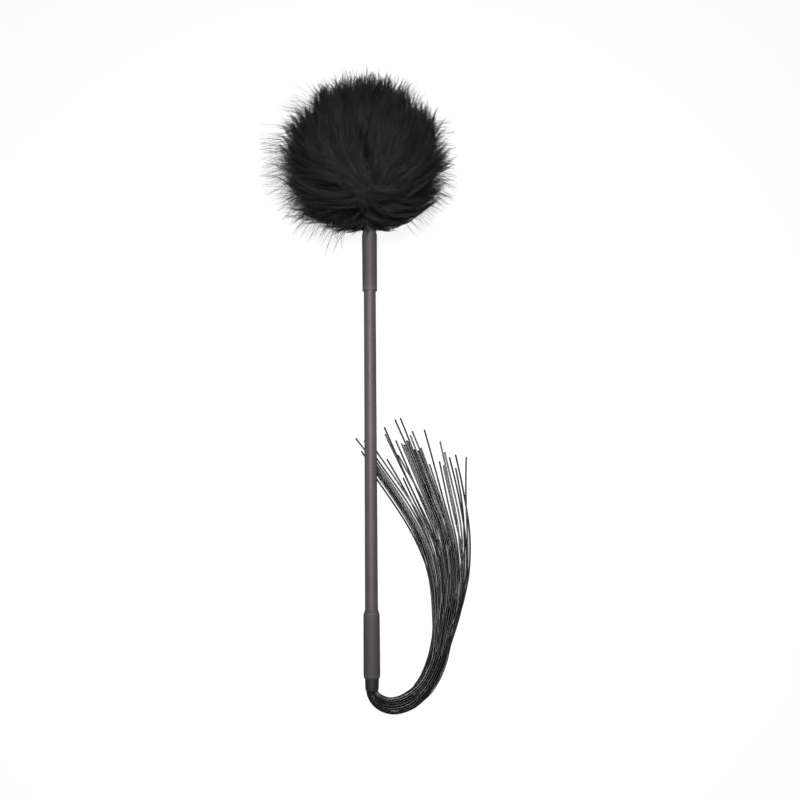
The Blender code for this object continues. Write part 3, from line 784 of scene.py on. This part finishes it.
def smooth_through(points, samples):
    """A smooth path through unevenly spaced points, at fractional point numbers."""
    gaps = np.linalg.norm(np.diff(points, axis=0), axis=1)
    chords = np.diff(points, axis=0) / gaps[:, None]
    slopes = np.empty_like(points)
    slopes[1:-1] = ((chords[:-1] * gaps[1:, None] + chords[1:] * gaps[:-1, None])
                    / (gaps[1:] + gaps[:-1])[:, None])
    slopes[0], slopes[-1] = chords[0], chords[-1]
    i = np.clip(samples.astype(int), 0, len(points) - 2)
    t = (samples - i)[:, None]
    return hermite(t, points[i], points[i + 1], gaps[i][:, None], slopes[i], slopes[i + 1])


def frames_along(path):
    """Two unit vectors across a path at each point, turning as little as they can."""
    heading = units(np.gradient(path, axis=0))
    first = np.zeros_like(path)
    steep = abs(heading[0][2]) >= 0.9
    reference = np.array([1.0, 0.0, 0.0] if steep else [0.0, 0.0, 1.0])
    first[0] = unit(np.cross(heading[0], reference))
    for i in range(1, len(path)):
        first[i] = unit(first[i - 1] - heading[i] * (first[i - 1] @ heading[i]))
    return first, np.cross(heading, first)


def whole_strand(i):
    """(points, first and second cross vectors, radii) of strand i."""
    path = strand_path(i)
    knots = np.interp(ring_arcs, knot_arc, knot_number)
    knots = np.concatenate([knots, np.linspace(knots[-1], len(path) - 1, 70)[1:]])
    points = smooth_through(path, knots)
    radius = radius_along(np.interp(knots, knot_number, knot_arc))
    # the cut end is very slightly rounded over
    tip_way = unit(points[-1] - points[-2])
    points = np.vstack([points[:-1], points[-1] - tip_way * 0.16, points[-1]])
    radius = np.concatenate([radius, [radius[-1] * 0.86]])
    return (points, *frames_along(points), radius)


whole_strands = [whole_strand(i) for i in range(COUNT)]
# one strand in two is darker and duller, as painted shade for the gaps between neighbours, so neighbours stand
# apart
strand_painted_shades = np.empty(COUNT)
strand_painted_shades[np.argsort(finish_at[:, 0])] = (
    np.where(np.arange(COUNT) % 2 == 0, 0.86, 0.16) + rng.normal(0, 0.10, COUNT))
strand_painted_shades = np.clip(strand_painted_shades, 0, 1)


def strand_piece(name, first, last):
    """All strands between two of their rings, as closed round tubes.

    The end caps have corners of their own, so the sides shade evenly to their ends.
    """
    verts, quads, caps, tone_and_painted_light = [], [], [], []
    offset = 0
    corner = np.arange(STRAND_SIDES)
    angle = 2 * np.pi * corner / STRAND_SIDES
    for strand, strand_painted_shade in zip(whole_strands, strand_painted_shades):
        points, across_a, across_b, radius = (part[first:last] for part in strand)
        rows = (points[:, None, :] + radius[:, None, None]
                * (np.cos(angle)[None, :, None] * across_a[:, None, :]
                   + np.sin(angle)[None, :, None] * across_b[:, None, :]))
        verts += [rows.reshape(-1, 3), rows[0], rows[-1]]
        rings = len(points)
        quads.append(ring_quads(rings, STRAND_SIDES) + offset)
        caps.append(offset + rings * STRAND_SIDES + corner[::-1])
        caps.append(offset + (rings + 1) * STRAND_SIDES + corner)
        size = (rings + 2) * STRAND_SIDES
        tone_and_painted_light.append(np.full(size, strand_painted_shade))
        offset += size
    return build(name, np.concatenate(verts), [np.concatenate(quads), np.array(caps)],
                 rubber_mat, {"tone_and_painted_light": np.concatenate(tone_and_painted_light)})


def bending_piece(k):
    """Piece k of the bundle, from one cut to the next, left where it is built and fixed to no body."""
    piece = strand_piece(f"strands_{k + 1}", k * PER_PIECE, (k + 1) * PER_PIECE + 1)
    cut = centre(CUTS[k])
    way = unit(centre(CUTS[k + 1]) - cut)
    corners = np.array([v.co for v in piece.data.vertices], float) / MM
    rings = corners.reshape(COUNT, -1, STRAND_SIDES, 3)
    # how far the first end ring reaches along the piece is worked out but not used; the last two rows are the caps
    first = (rings[:, 0] @ way).max() + 0.05
    if k == 0:
        first = max(first, (mouth + axis * 2.0) @ way)
    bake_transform(piece)
    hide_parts(f"strand_bundle_{k + 1}")


def spread_piece():
    """The loose strands; they deepen to a blacker tone over 75 mm from the bundle."""
    fan = strand_piece("strands_6_spread", 5 * PER_PIECE, None)
    along_y = np.array([v.co[1] for v in fan.data.vertices])
    layer = fan.data.attributes["tone_and_painted_light"].data
    tone_and_painted_light = np.zeros(len(along_y), np.float32)
    layer.foreach_get("value", tone_and_painted_light)
    loose = np.clip((along_y - along_y.min()) / 0.075, 0, 1) ** 0.8
    layer.foreach_set("value", (tone_and_painted_light * (1 - 0.62 * loose)).astype(np.float32))
    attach(fan, "tail_fan")
    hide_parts(*strand_nodes)


for k in range(5):
    bending_piece(k)
spread_piece()

# -------------------------------------------------------------- pom: its outline
plume_nodes = sorted(n for n in NODES if n.startswith("feather_plume_"))
cad_down = np.vstack([node_points(n) for n in plume_nodes])
low, high = cad_down.min(axis=0), cad_down.max(axis=0)
neck = mouth + axis * (span("quill_bundle")[1] - 5.0)
POM_HALF = np.array([59.5, 62.2, 48.0])     # half sizes of the plain ball
POM_MEAN = POM_HALF.mean()
POM_CENTRE = np.array([-3.4, high[1] - POM_HALF[1] - 1.0, 44.5])
CROWN_X, CROWN_Y = -3.5, neck[1] + 7.0      # where the down seems to spring from
PLUMES = 58
HAIR_STEPS = 5
HAIR_T = np.linspace(0, 1, HAIR_STEPS)[None, :, None]
pom_rng = np.random.default_rng(77)

# Swellings and dips in the outline: direction x, direction y, breadth, height.
LUMPS = (
    (0.5, 0.82, 0.05, -0.035),
    (0.90, -0.34, 0.12, 0.09),
    (-0.84, -0.54, 0.12, 0.09),
    (-0.62, -0.78, 0.05, 0.04),
    (-0.6, 0.8, 0.10, -0.03),
)


def outline_size(direction):
    """How far the down reaches in a direction from its middle; the plain ball is 1."""
    x, y = direction[..., 0], direction[..., 1]
    size = 1.0 + 0.05 * np.clip(-x, 0, 1) ** 3 + 0.035 * np.clip(x, 0, 1) ** 3
    for at_x, at_y, breadth, height in LUMPS:
        size = size + height * np.exp(-((x - at_x) ** 2 + (y - at_y) ** 2) / breadth)
    return size


def surface(direction, depth):
    """The point at a share `depth` of the down's outline, in a direction from its middle."""
    size = (depth * outline_size(direction)
            / np.linalg.norm(direction / POM_HALF * POM_MEAN, axis=-1))
    return POM_CENTRE + direction * size[..., None] * POM_MEAN


def ball_points(count, jitter):
    """Evenly scattered directions from the middle of the ball."""
    k = np.arange(count) + 0.5
    y = 1 - 2 * k / count
    radius = np.sqrt(1 - y * y)
    angle = k * 2.399963        # the golden angle
    even = np.stack([radius * np.cos(angle), y, radius * np.sin(angle)], 1)
    return units(even + pom_rng.normal(0, jitter, (count, 3)))


def flow(points, normal):
    """Which way the barbs run over the ball, away from the crown, and how far they lift."""
    crown_z = POM_CENTRE[2] + 26.0 * np.tanh((points[:, 2] - POM_CENTRE[2]) / 12.0)
    crown = np.stack([np.full(len(points), CROWN_X), np.full(len(points), CROWN_Y), crown_z], 1)
    off = points - crown
    along = units(off - normal * (off * normal).sum(1)[:, None])
    # they lie flat above and below, and stand up round the sides and at the far +Y end
    flat = np.clip((np.abs(normal[:, 2]) - 0.22) / 0.5, 0, 1)
    lift = 0.72 - 0.50 * flat * flat * (3 - 2 * flat)
    crest = (np.clip((normal[:, 1] - 0.72) / 0.2, 0, 1)
             * np.clip(1.6 - 2.2 * np.abs(normal[:, 2]), 0, 1))
    lift = lift + (0.92 - lift) * crest
    low_right = (np.clip(normal[:, 0] / 0.3, 0, 1)
                 * np.clip((-normal[:, 1] - 0.35) / 0.3, 0, 1))
    return along, lift * (1 - 0.55 * low_right)


def settle_down(points):
    """Presses flat, just over the table, whatever would go below it."""
    z = points[..., 2]
    points[..., 2] = np.where(z < 1.5, 0.4 + 1.1 * np.exp(np.minimum(z - 1.5, 0) / 9.0), z)
    return points


# -------------------------------------------------------------- pom: its barbs
# A layer of barbs is (curves, thicknesses, tones, tips).
# Plumes: each gathers the tufts near it into a soft lock.
heads = ball_points(PLUMES, 0.12)
plume_tone = pom_rng.random(PLUMES)
plume_lean = pom_rng.normal(0, 1, (PLUMES, 3))


def tufts(count, depth, hairs, length, spread, tip_spread, stray, thick):
    """A layer of `count` locks of `hairs` barbs, ending at a share `depth` of the ball."""
    direction = ball_points(count, 0.04)
    near = np.argsort(-(direction @ heads.T), axis=1)[:, 0]
    apart = np.linalg.norm(direction - heads[near], axis=1)
    direction = units(direction + 0.16 * (heads[near] - direction))
    sink = (1.0 - 0.060 * np.clip(apart / 0.27, 0, 1) ** 2
            + 0.014 * pom_rng.normal(size=count))
    tip = POM_CENTRE + (surface(direction, depth) - POM_CENTRE) * sink[:, None]
    normal = units((tip - POM_CENTRE) / POM_HALF**2)
    along, lift = flow(tip, normal)
    along = along + 0.16 * plume_lean[near] + 0.12 * pom_rng.normal(size=(count, 3))
    along = units(along - normal * (along * normal).sum(1)[:, None])
    lift = np.clip(lift * pom_rng.uniform(0.75, 1.25, count), 0.06, 0.95)[:, None]
    run = units(along * np.sqrt(1 - lift**2) + normal * lift)
    from_crown = np.linalg.norm(tip - [CROWN_X, CROWN_Y, POM_CENTRE[2]], axis=1)
    rooted = np.minimum(length * pom_rng.uniform(0.7, 1.2, count), 0.75 * from_crown + 3.0)

    # lying locks follow the ball; standing ones come from inside it
    lying = 1 - np.clip((lift - 0.2) / 0.35, 0, 1)
    back = tip - along * rooted[:, None]
    root_lying = surface(units(back - POM_CENTRE), depth * 0.86)
    middle = surface(units(0.5 * (back + tip) - POM_CENTRE), depth)
    root_standing = tip - units(0.55 * run + 0.45 * units(tip - neck)) * rooted[:, None]
    lock_root = root_lying * lying + root_standing * (1 - lying)

    # from here on, each barb has a row of its own
    total = count * hairs
    lock = np.repeat(np.arange(count), hairs)
    sideways = np.cross(along, normal)
    root = (lock_root[lock] + pom_rng.normal(0, 1, (total, 3)) * spread * 0.6
            + sideways[lock] * pom_rng.normal(0, spread, (total, 1))
            + along[lock] * pom_rng.uniform(-0.1, 0.3, (total, 1)) * rooted[lock, None])
    # locks stray furthest at -X and least at +Y
    stray_share = (1.0 + 0.5 * np.clip(-tip[:, 0:1] / 60.0, 0, 1)
                   - 0.35 * np.clip(normal[:, 1:2], 0, 1))
    over = np.abs(pom_rng.normal(0, 1, (count, 1))) * stray * stray_share
    end = (tip[lock] + run[lock] * (over[lock] + pom_rng.normal(0, 1.6, (total, 1)))
           + pom_rng.normal(0, 1, (total, 3)) * tip_spread)
    half = (middle[lock] + pom_rng.normal(0, 1, (total, 3)) * tip_spread
            + sideways[lock] * pom_rng.normal(0, 0.75 * spread, (total, 1)) * 0.8)
    bend_lying = 2 * half - 0.5 * (root + end)
    arch = 0.13 * rooted[lock] * pom_rng.uniform(0.4, 1.4, total)
    bend_standing = 0.5 * (root + end) + normal[lock] * arch[:, None]
    bend = (bend_lying * lying[lock] + bend_standing * (1 - lying[lock])
            + pom_rng.normal(0, 0.5, (total, 3)))
    root, bend, end = settle_down(root), settle_down(bend), settle_down(end)
    curves = bezier(HAIR_T, root[:, None], bend[:, None], end[:, None])
    curves = curves + (np.sin(HAIR_T * 4.6 + pom_rng.uniform(0, 6.28, (total, 1, 1))) * HAIR_T
                       * pom_rng.normal(0, 0.32, (total, 1, 3)))
    curves[..., 2] = np.maximum(curves[..., 2], 0.3)

    # the tone is the plume's, the lock's and the barb's, at random; barbs on the +X and -Y sides are made paler as
    # painted light, for the sheen those sides catch
    tone_and_painted_light = (0.16 * plume_tone[near][lock] + 0.62 * pom_rng.random(count)[lock]
            + 0.22 * pom_rng.random(total))
    tone_and_painted_light = np.clip(tone_and_painted_light + 0.12 * np.clip(normal[lock, 0], 0, 1)
                   + 0.16 * np.clip(-normal[lock, 1], 0, 1) - 0.04, 0, 1)
    return curves, thick * pom_rng.uniform(0.8, 1.25, total), tone_and_painted_light, tip[lock]


def wisps(count, where, scatter, length, way_out, curl, past):
    """A layer of loose barbs; `past` is how far beyond the CAD pom they may go in x."""
    root = (POM_CENTRE + POM_HALF * units(np.array(where)
                                          + pom_rng.normal(0, 1, (count, 3)) * scatter)
            * pom_rng.uniform(0.72, 0.92, (count, 1)))
    way = units(np.array(way_out) + pom_rng.normal(0, 0.2, (count, 3)))
    reach = (length * pom_rng.uniform(0.5, 1.1, count))[:, None]
    bend = root + way * reach * 0.5 + pom_rng.normal(0, 0.5, (count, 3)) * curl
    end = root + way * reach + np.stack([
        np.zeros(count),
        pom_rng.normal(-0.6, 1, count) * curl,
        pom_rng.normal(0, 1, count) * curl,
    ], 1)
    curves = bezier(HAIR_T, root[:, None], bend[:, None], end[:, None])
    curves[..., 0] = np.clip(curves[..., 0], low[0] - past, high[0] + past)
    curves[..., 2] = np.maximum(curves[..., 2], 0.5)
    thickness = pom_rng.uniform(0.10, 0.15, count)
    return curves, thickness, pom_rng.uniform(0.1, 0.7, count), curves[:, -1]


def shafts():
    """The layer of shafts that carry the barbs, one to a plume."""
    tip = surface(heads, 0.80)
    off = tip - neck
    root = neck + units(off - (off @ axis)[:, None] * axis) * 1.7
    bend = 0.5 * (root + tip) + axis * 8.0
    curves = bezier(HAIR_T, root[:, None], bend[:, None], tip[:, None])
    curves[..., 2] = np.maximum(curves[..., 2], 0.8)
    return curves, np.full(PLUMES, 0.36), np.full(PLUMES, 0.3), tip


# count, where on the ball, scatter of that place, length, way out, curl, past
WISPS = (
    (170, (-0.96, -0.14, 0.05), (0.1, 0.28, 0.35), 37, (-1.0, -0.10, 0.1), 2.6, 9.5),
    (90, (-0.8, 0.5, 0.15), (0.12, 0.22, 0.3), 25, (-0.85, 0.45, 0.1), 2.0, 5.0),
    (110, (0.96, 0.0, 0.0), (0.1, 0.36, 0.35), 25, (1.0, 0.1, 0.05), 2.0, 6.0),
    (120, (-0.86, -0.50, 0.0), (0.08, 0.13, 0.28), 27, (-0.90, -0.38, 0.0), 2.6, 6.0),
    (110, (-0.66, -0.70, 0.0), (0.12, 0.14, 0.25), 31, (-0.72, -0.58, 0.0), 2.6, 5.0),
    (80, (-0.40, -0.86, 0.0), (0.14, 0.1, 0.25), 26, (-0.50, -0.78, 0.0), 2.6, 4.0),
    (150, (0.84, -0.50, 0.0), (0.10, 0.20, 0.30), 27, (0.90, -0.30, 0.0), 2.4, 6.0),
    (40, (0.60, -0.74, 0.0), (0.12, 0.12, 0.25), 26, (0.75, -0.55, 0.0), 2.6, 4.0),
    (520, (0.0, 0.97, 0.0), (0.24, 0.05, 0.30), 12, (0.02, 1.0, 0.1), 2.3, 4.0),
    (330, (0.56, 0.80, 0.0), (0.15, 0.10, 0.30), 14, (0.45, 0.85, 0.1), 1.6, 4.0),
    (330, (-0.56, 0.80, 0.0), (0.15, 0.10, 0.30), 14, (-0.55, 0.80, 0.1), 1.6, 4.0),
)
layers = [
    tufts(count=1300, depth=0.84, hairs=8, length=30.0, spread=3.2, tip_spread=1.2,
          stray=1.0, thick=0.14),
    tufts(count=1500, depth=0.92, hairs=10, length=34.0, spread=2.4, tip_spread=0.7,
          stray=2.0, thick=0.13),
    tufts(count=1000, depth=0.985, hairs=15, length=40.0, spread=1.5, tip_spread=0.45,
          stray=3.6, thick=0.125),
]
layers += [wisps(*row) for row in WISPS]
layers.append(shafts())


def trimmed(layer):
    """A layer without the barbs that would cover the neck cap and the ferrule."""
    off = layer[0] - (mouth + axis * (cap_start + 2.0))
    ahead = off @ axis
    clear = np.linalg.norm(off - ahead[..., None] * axis, axis=-1)
    good = ~((ahead < 0) & (clear < 9.0)).any(axis=1)
    return [part[good] for part in layer]


# -------------------------------------------------------------- pom: its meshes
# a barb's thickness at even steps from root to tip
TAPER = np.array([1.0, 0.98, 0.93, 0.82, 0.60, 0.16])


def prisms(curves, thickness):
    """Three-sided hairs along curves: vertices, quads and end triangles."""
    count = len(curves)
    heading = units(np.gradient(curves, axis=1))
    reference = units(pom_rng.normal(size=(count, 1, 3)))
    across_a = units(np.cross(heading, np.broadcast_to(reference, heading.shape)))
    across_b = np.cross(heading, across_a)
    taper = np.interp(np.linspace(0, 1, HAIR_STEPS), np.linspace(0, 1, len(TAPER)), TAPER)
    radius = thickness[:, None, None] * taper[None, :, None]
    verts = np.stack([
        curves + radius * (across_a * math.cos(angle) + across_b * math.sin(angle))
        for angle in (0.0, 2.0944, 4.18879)], 2)
    first = (np.arange(count) * HAIR_STEPS * 3)[:, None]
    quads = first[:, :, None] + ring_quads(HAIR_STEPS, 3)[None]
    root_caps = first + np.array([[2, 1, 0]])
    tip_caps = first + (HAIR_STEPS - 1) * 3 + np.array([[0, 1, 2]])
    return verts.reshape(-1, 3), quads.reshape(-1, 4), np.vstack([root_caps, tip_caps])


def sector(points):
    """Which CAD plume a point belongs to: the middle one, or one of the six round it."""
    off = units(points - neck)
    polar = np.arccos(np.clip(off @ axis, -1, 1))
    azimuth = np.arctan2(off @ upward, off @ side) % (2 * np.pi)
    sixth = 1 + np.round(azimuth / (np.pi / 3)).astype(int) % 6
    return np.where(polar < math.radians(24), 0, sixth)


def down_piece(index, cad_name):
    """All the barbs of one CAD plume."""
    verts, quads, caps, tones_and_painted_light = [], [], [], []
    offset = 0
    for (curves, thickness, tone_and_painted_light, _), home in zip(layers, homes):
        mine = home == index
        if not mine.any():
            continue
        some_verts, some_quads, some_caps = prisms(curves[mine], thickness[mine])
        verts.append(some_verts)
        quads.append(some_quads + offset)
        caps.append(some_caps + offset)
        tones_and_painted_light.append(np.repeat(tone_and_painted_light[mine], HAIR_STEPS * 3))
        offset += len(some_verts)
    obj = build(f"down_{index + 1}", np.vstack(verts), [np.vstack(quads), np.vstack(caps)],
                feather_mat, {"tone_and_painted_light": np.concatenate(tones_and_painted_light)})
    mount_piece(obj, cad_name)


def heart():
    """A dark lumpy ball that closes the pom behind its outer down; its near-black, dull colour is painted shade
    for the deep inside of the down.
    """
    rows, columns = 40, 64
    depth = 0.70            # share of the plain ball
    flattening = 0.20       # how much shorter it is at -Y
    polar = np.linspace(0.02, np.pi - 0.02, rows)[:, None]
    round_y = np.linspace(0, 2 * np.pi, columns, endpoint=False)[None, :]
    direction = np.stack([np.sin(polar) * np.cos(round_y), np.cos(polar) + 0 * round_y,
                          np.sin(polar) * np.sin(round_y)], -1)
    lump = (1 + 0.04 * np.sin(7 * round_y + 3 * np.sin(4 * polar)) * np.sin(polar)
            + 0.03 * np.sin(11 * polar))
    size = depth * lump * (1 - flattening * np.clip(-direction[..., 1], 0, 1) ** 2)
    verts = (POM_CENTRE + direction * POM_HALF * size[..., None]).reshape(-1, 3)
    quads = ring_quads(rows, columns)[:, [0, 3, 2, 1]]
    pole = len(verts)
    verts = np.vstack([verts, POM_CENTRE + [0, POM_HALF[1] * depth, 0],
                       POM_CENTRE - [0, POM_HALF[1] * depth * (1 - flattening), 0]])
    column = np.arange(columns)
    beside = (column + 1) % columns
    last = (rows - 1) * columns
    caps = np.vstack([np.stack([np.full(columns, pole), column, beside], -1),
                      np.stack([np.full(columns, pole + 1), last + beside, last + column], -1)])
    obj = build("down_heart", verts, [quads, caps], heart_shade_mat, {})
    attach(obj, "wand")


layers = [trimmed(layer) for layer in layers]
homes = [sector(tips) for *_, tips in layers]
for plume_index, plume_node in enumerate(plume_nodes):
    down_piece(plume_index, plume_node)
heart()


# --------------------------------------------- world, table, lights, camera (metres)
def white_world():
    """A white backdrop, bright to the camera and dim as a light."""
    world = bpy.data.worlds.new("studio")
    bpy.context.scene.world = world
    world.use_nodes = True
    tree = world.node_tree
    background = next(n for n in tree.nodes if n.type == "BACKGROUND")
    background.inputs["Color"].default_value = (1.0, 1.0, 1.0, 1.0)
    background.inputs["Strength"].default_value = 0.75      # applies only when unlinked
    rays = tree.nodes.new("ShaderNodeLightPath")
    strength = tree.nodes.new("ShaderNodeMath")
    strength.operation = "MULTIPLY_ADD"
    strength.inputs[1].default_value = 0.96     # added for camera rays
    strength.inputs[2].default_value = 0.14     # for all rays
    tree.links.new(rays.outputs["Is Camera Ray"], strength.inputs[0])
    tree.links.new(strength.outputs[0], background.inputs["Strength"])


def paper_material():
    """White paper that glows for the camera alone."""
    material, tree, bsdf = new_material("white_paper")
    bsdf.inputs["Roughness"].default_value = 0.9
    bsdf.inputs["Specular IOR Level"].default_value = 0.1
    seen = tree.nodes.new("ShaderNodeLightPath").outputs["Is Camera Ray"]
    paper = mix_colour(tree, seen, (0.30, 0.30, 0.30), (0.22, 0.22, 0.22))
    tree.links.new(paper, bsdf.inputs["Base Color"])
    # far from the wand the paper fades into the backdrop, so that no edge shows
    coords = tree.nodes.new("ShaderNodeTexCoord")
    distance = tree.nodes.new("ShaderNodeVectorMath")
    distance.operation = "LENGTH"
    tree.links.new(coords.outputs["Object"], distance.inputs[0])
    fade = remap(tree, distance.outputs["Value"], since=(0.6, 3.0), to=(0.90, 1.08),
                 interpolation="SMOOTHSTEP")
    glow = tree.nodes.new("ShaderNodeMath")
    glow.operation = "MULTIPLY"
    tree.links.new(seen, glow.inputs[0])
    tree.links.new(fade, glow.inputs[1])
    bsdf.inputs["Emission Color"].default_value = (1, 1, 1, 1)
    tree.links.new(glow.outputs[0], bsdf.inputs["Emission Strength"])
    return material


def table():
    bpy.ops.mesh.primitive_plane_add(size=40.0, location=(0, 0, -0.0002))
    top = bpy.context.object
    top.name = "table_top"
    top.data.materials.append(paper_material())


def softbox(name, place, aim, size, power, spread=180):
    """A square area light; spread is in degrees."""
    data = bpy.data.lights.new(name, "AREA")
    data.shape = "RECTANGLE"
    data.size = data.size_y = size
    data.energy = power
    data.spread = math.radians(spread)
    lamp = bpy.data.objects.new(name, data)
    bpy.context.scene.collection.objects.link(lamp)
    lamp.location = place
    lamp.rotation_euler = (Vector(aim) - Vector(place)).to_track_quat("-Z", "Y").to_euler()


def overhead_camera():
    """Looks down on the wand, tilted towards +Y and rolled very slightly."""
    place = (0.0216043, -0.1943272, 0.8500758)
    tilt = math.radians(12.43)
    roll = -0.0085989       # radians
    data = bpy.data.cameras.new("camera")
    camera = bpy.data.objects.new("camera", data)
    bpy.context.scene.collection.objects.link(camera)
    data.sensor_width = 36.0
    data.lens = 52.159
    data.clip_start, data.clip_end = 0.01, 50.0
    view_way = Vector((0, math.sin(tilt), -math.cos(tilt)))
    level_up = Vector((0, math.cos(tilt), math.sin(tilt)))
    level_right = Vector((1, 0, 0))
    right_way = math.cos(roll) * level_right + math.sin(roll) * level_up
    up_way = -math.sin(roll) * level_right + math.cos(roll) * level_up
    turn = Matrix((right_way, up_way, -view_way)).transposed()
    camera.matrix_world = Matrix.Translation(place) @ turn.to_4x4()
    bpy.context.scene.camera = camera


white_world()
table()
softbox("key_overhead", place=(0.0, 0.06, 0.88), aim=(0, -0.02, 0), size=0.26, power=0.66,
        spread=52)
softbox("fill_wide", place=(0.05, 0.05, 1.7), aim=(0, 0.0, 0), size=1.6, power=5.2)
overhead_camera()

view = bpy.context.scene.view_settings
view.view_transform = "Standard"
view.look = "None"
view.exposure = 0.0
view.gamma = 1.0

bpy.context.view_layer.update()
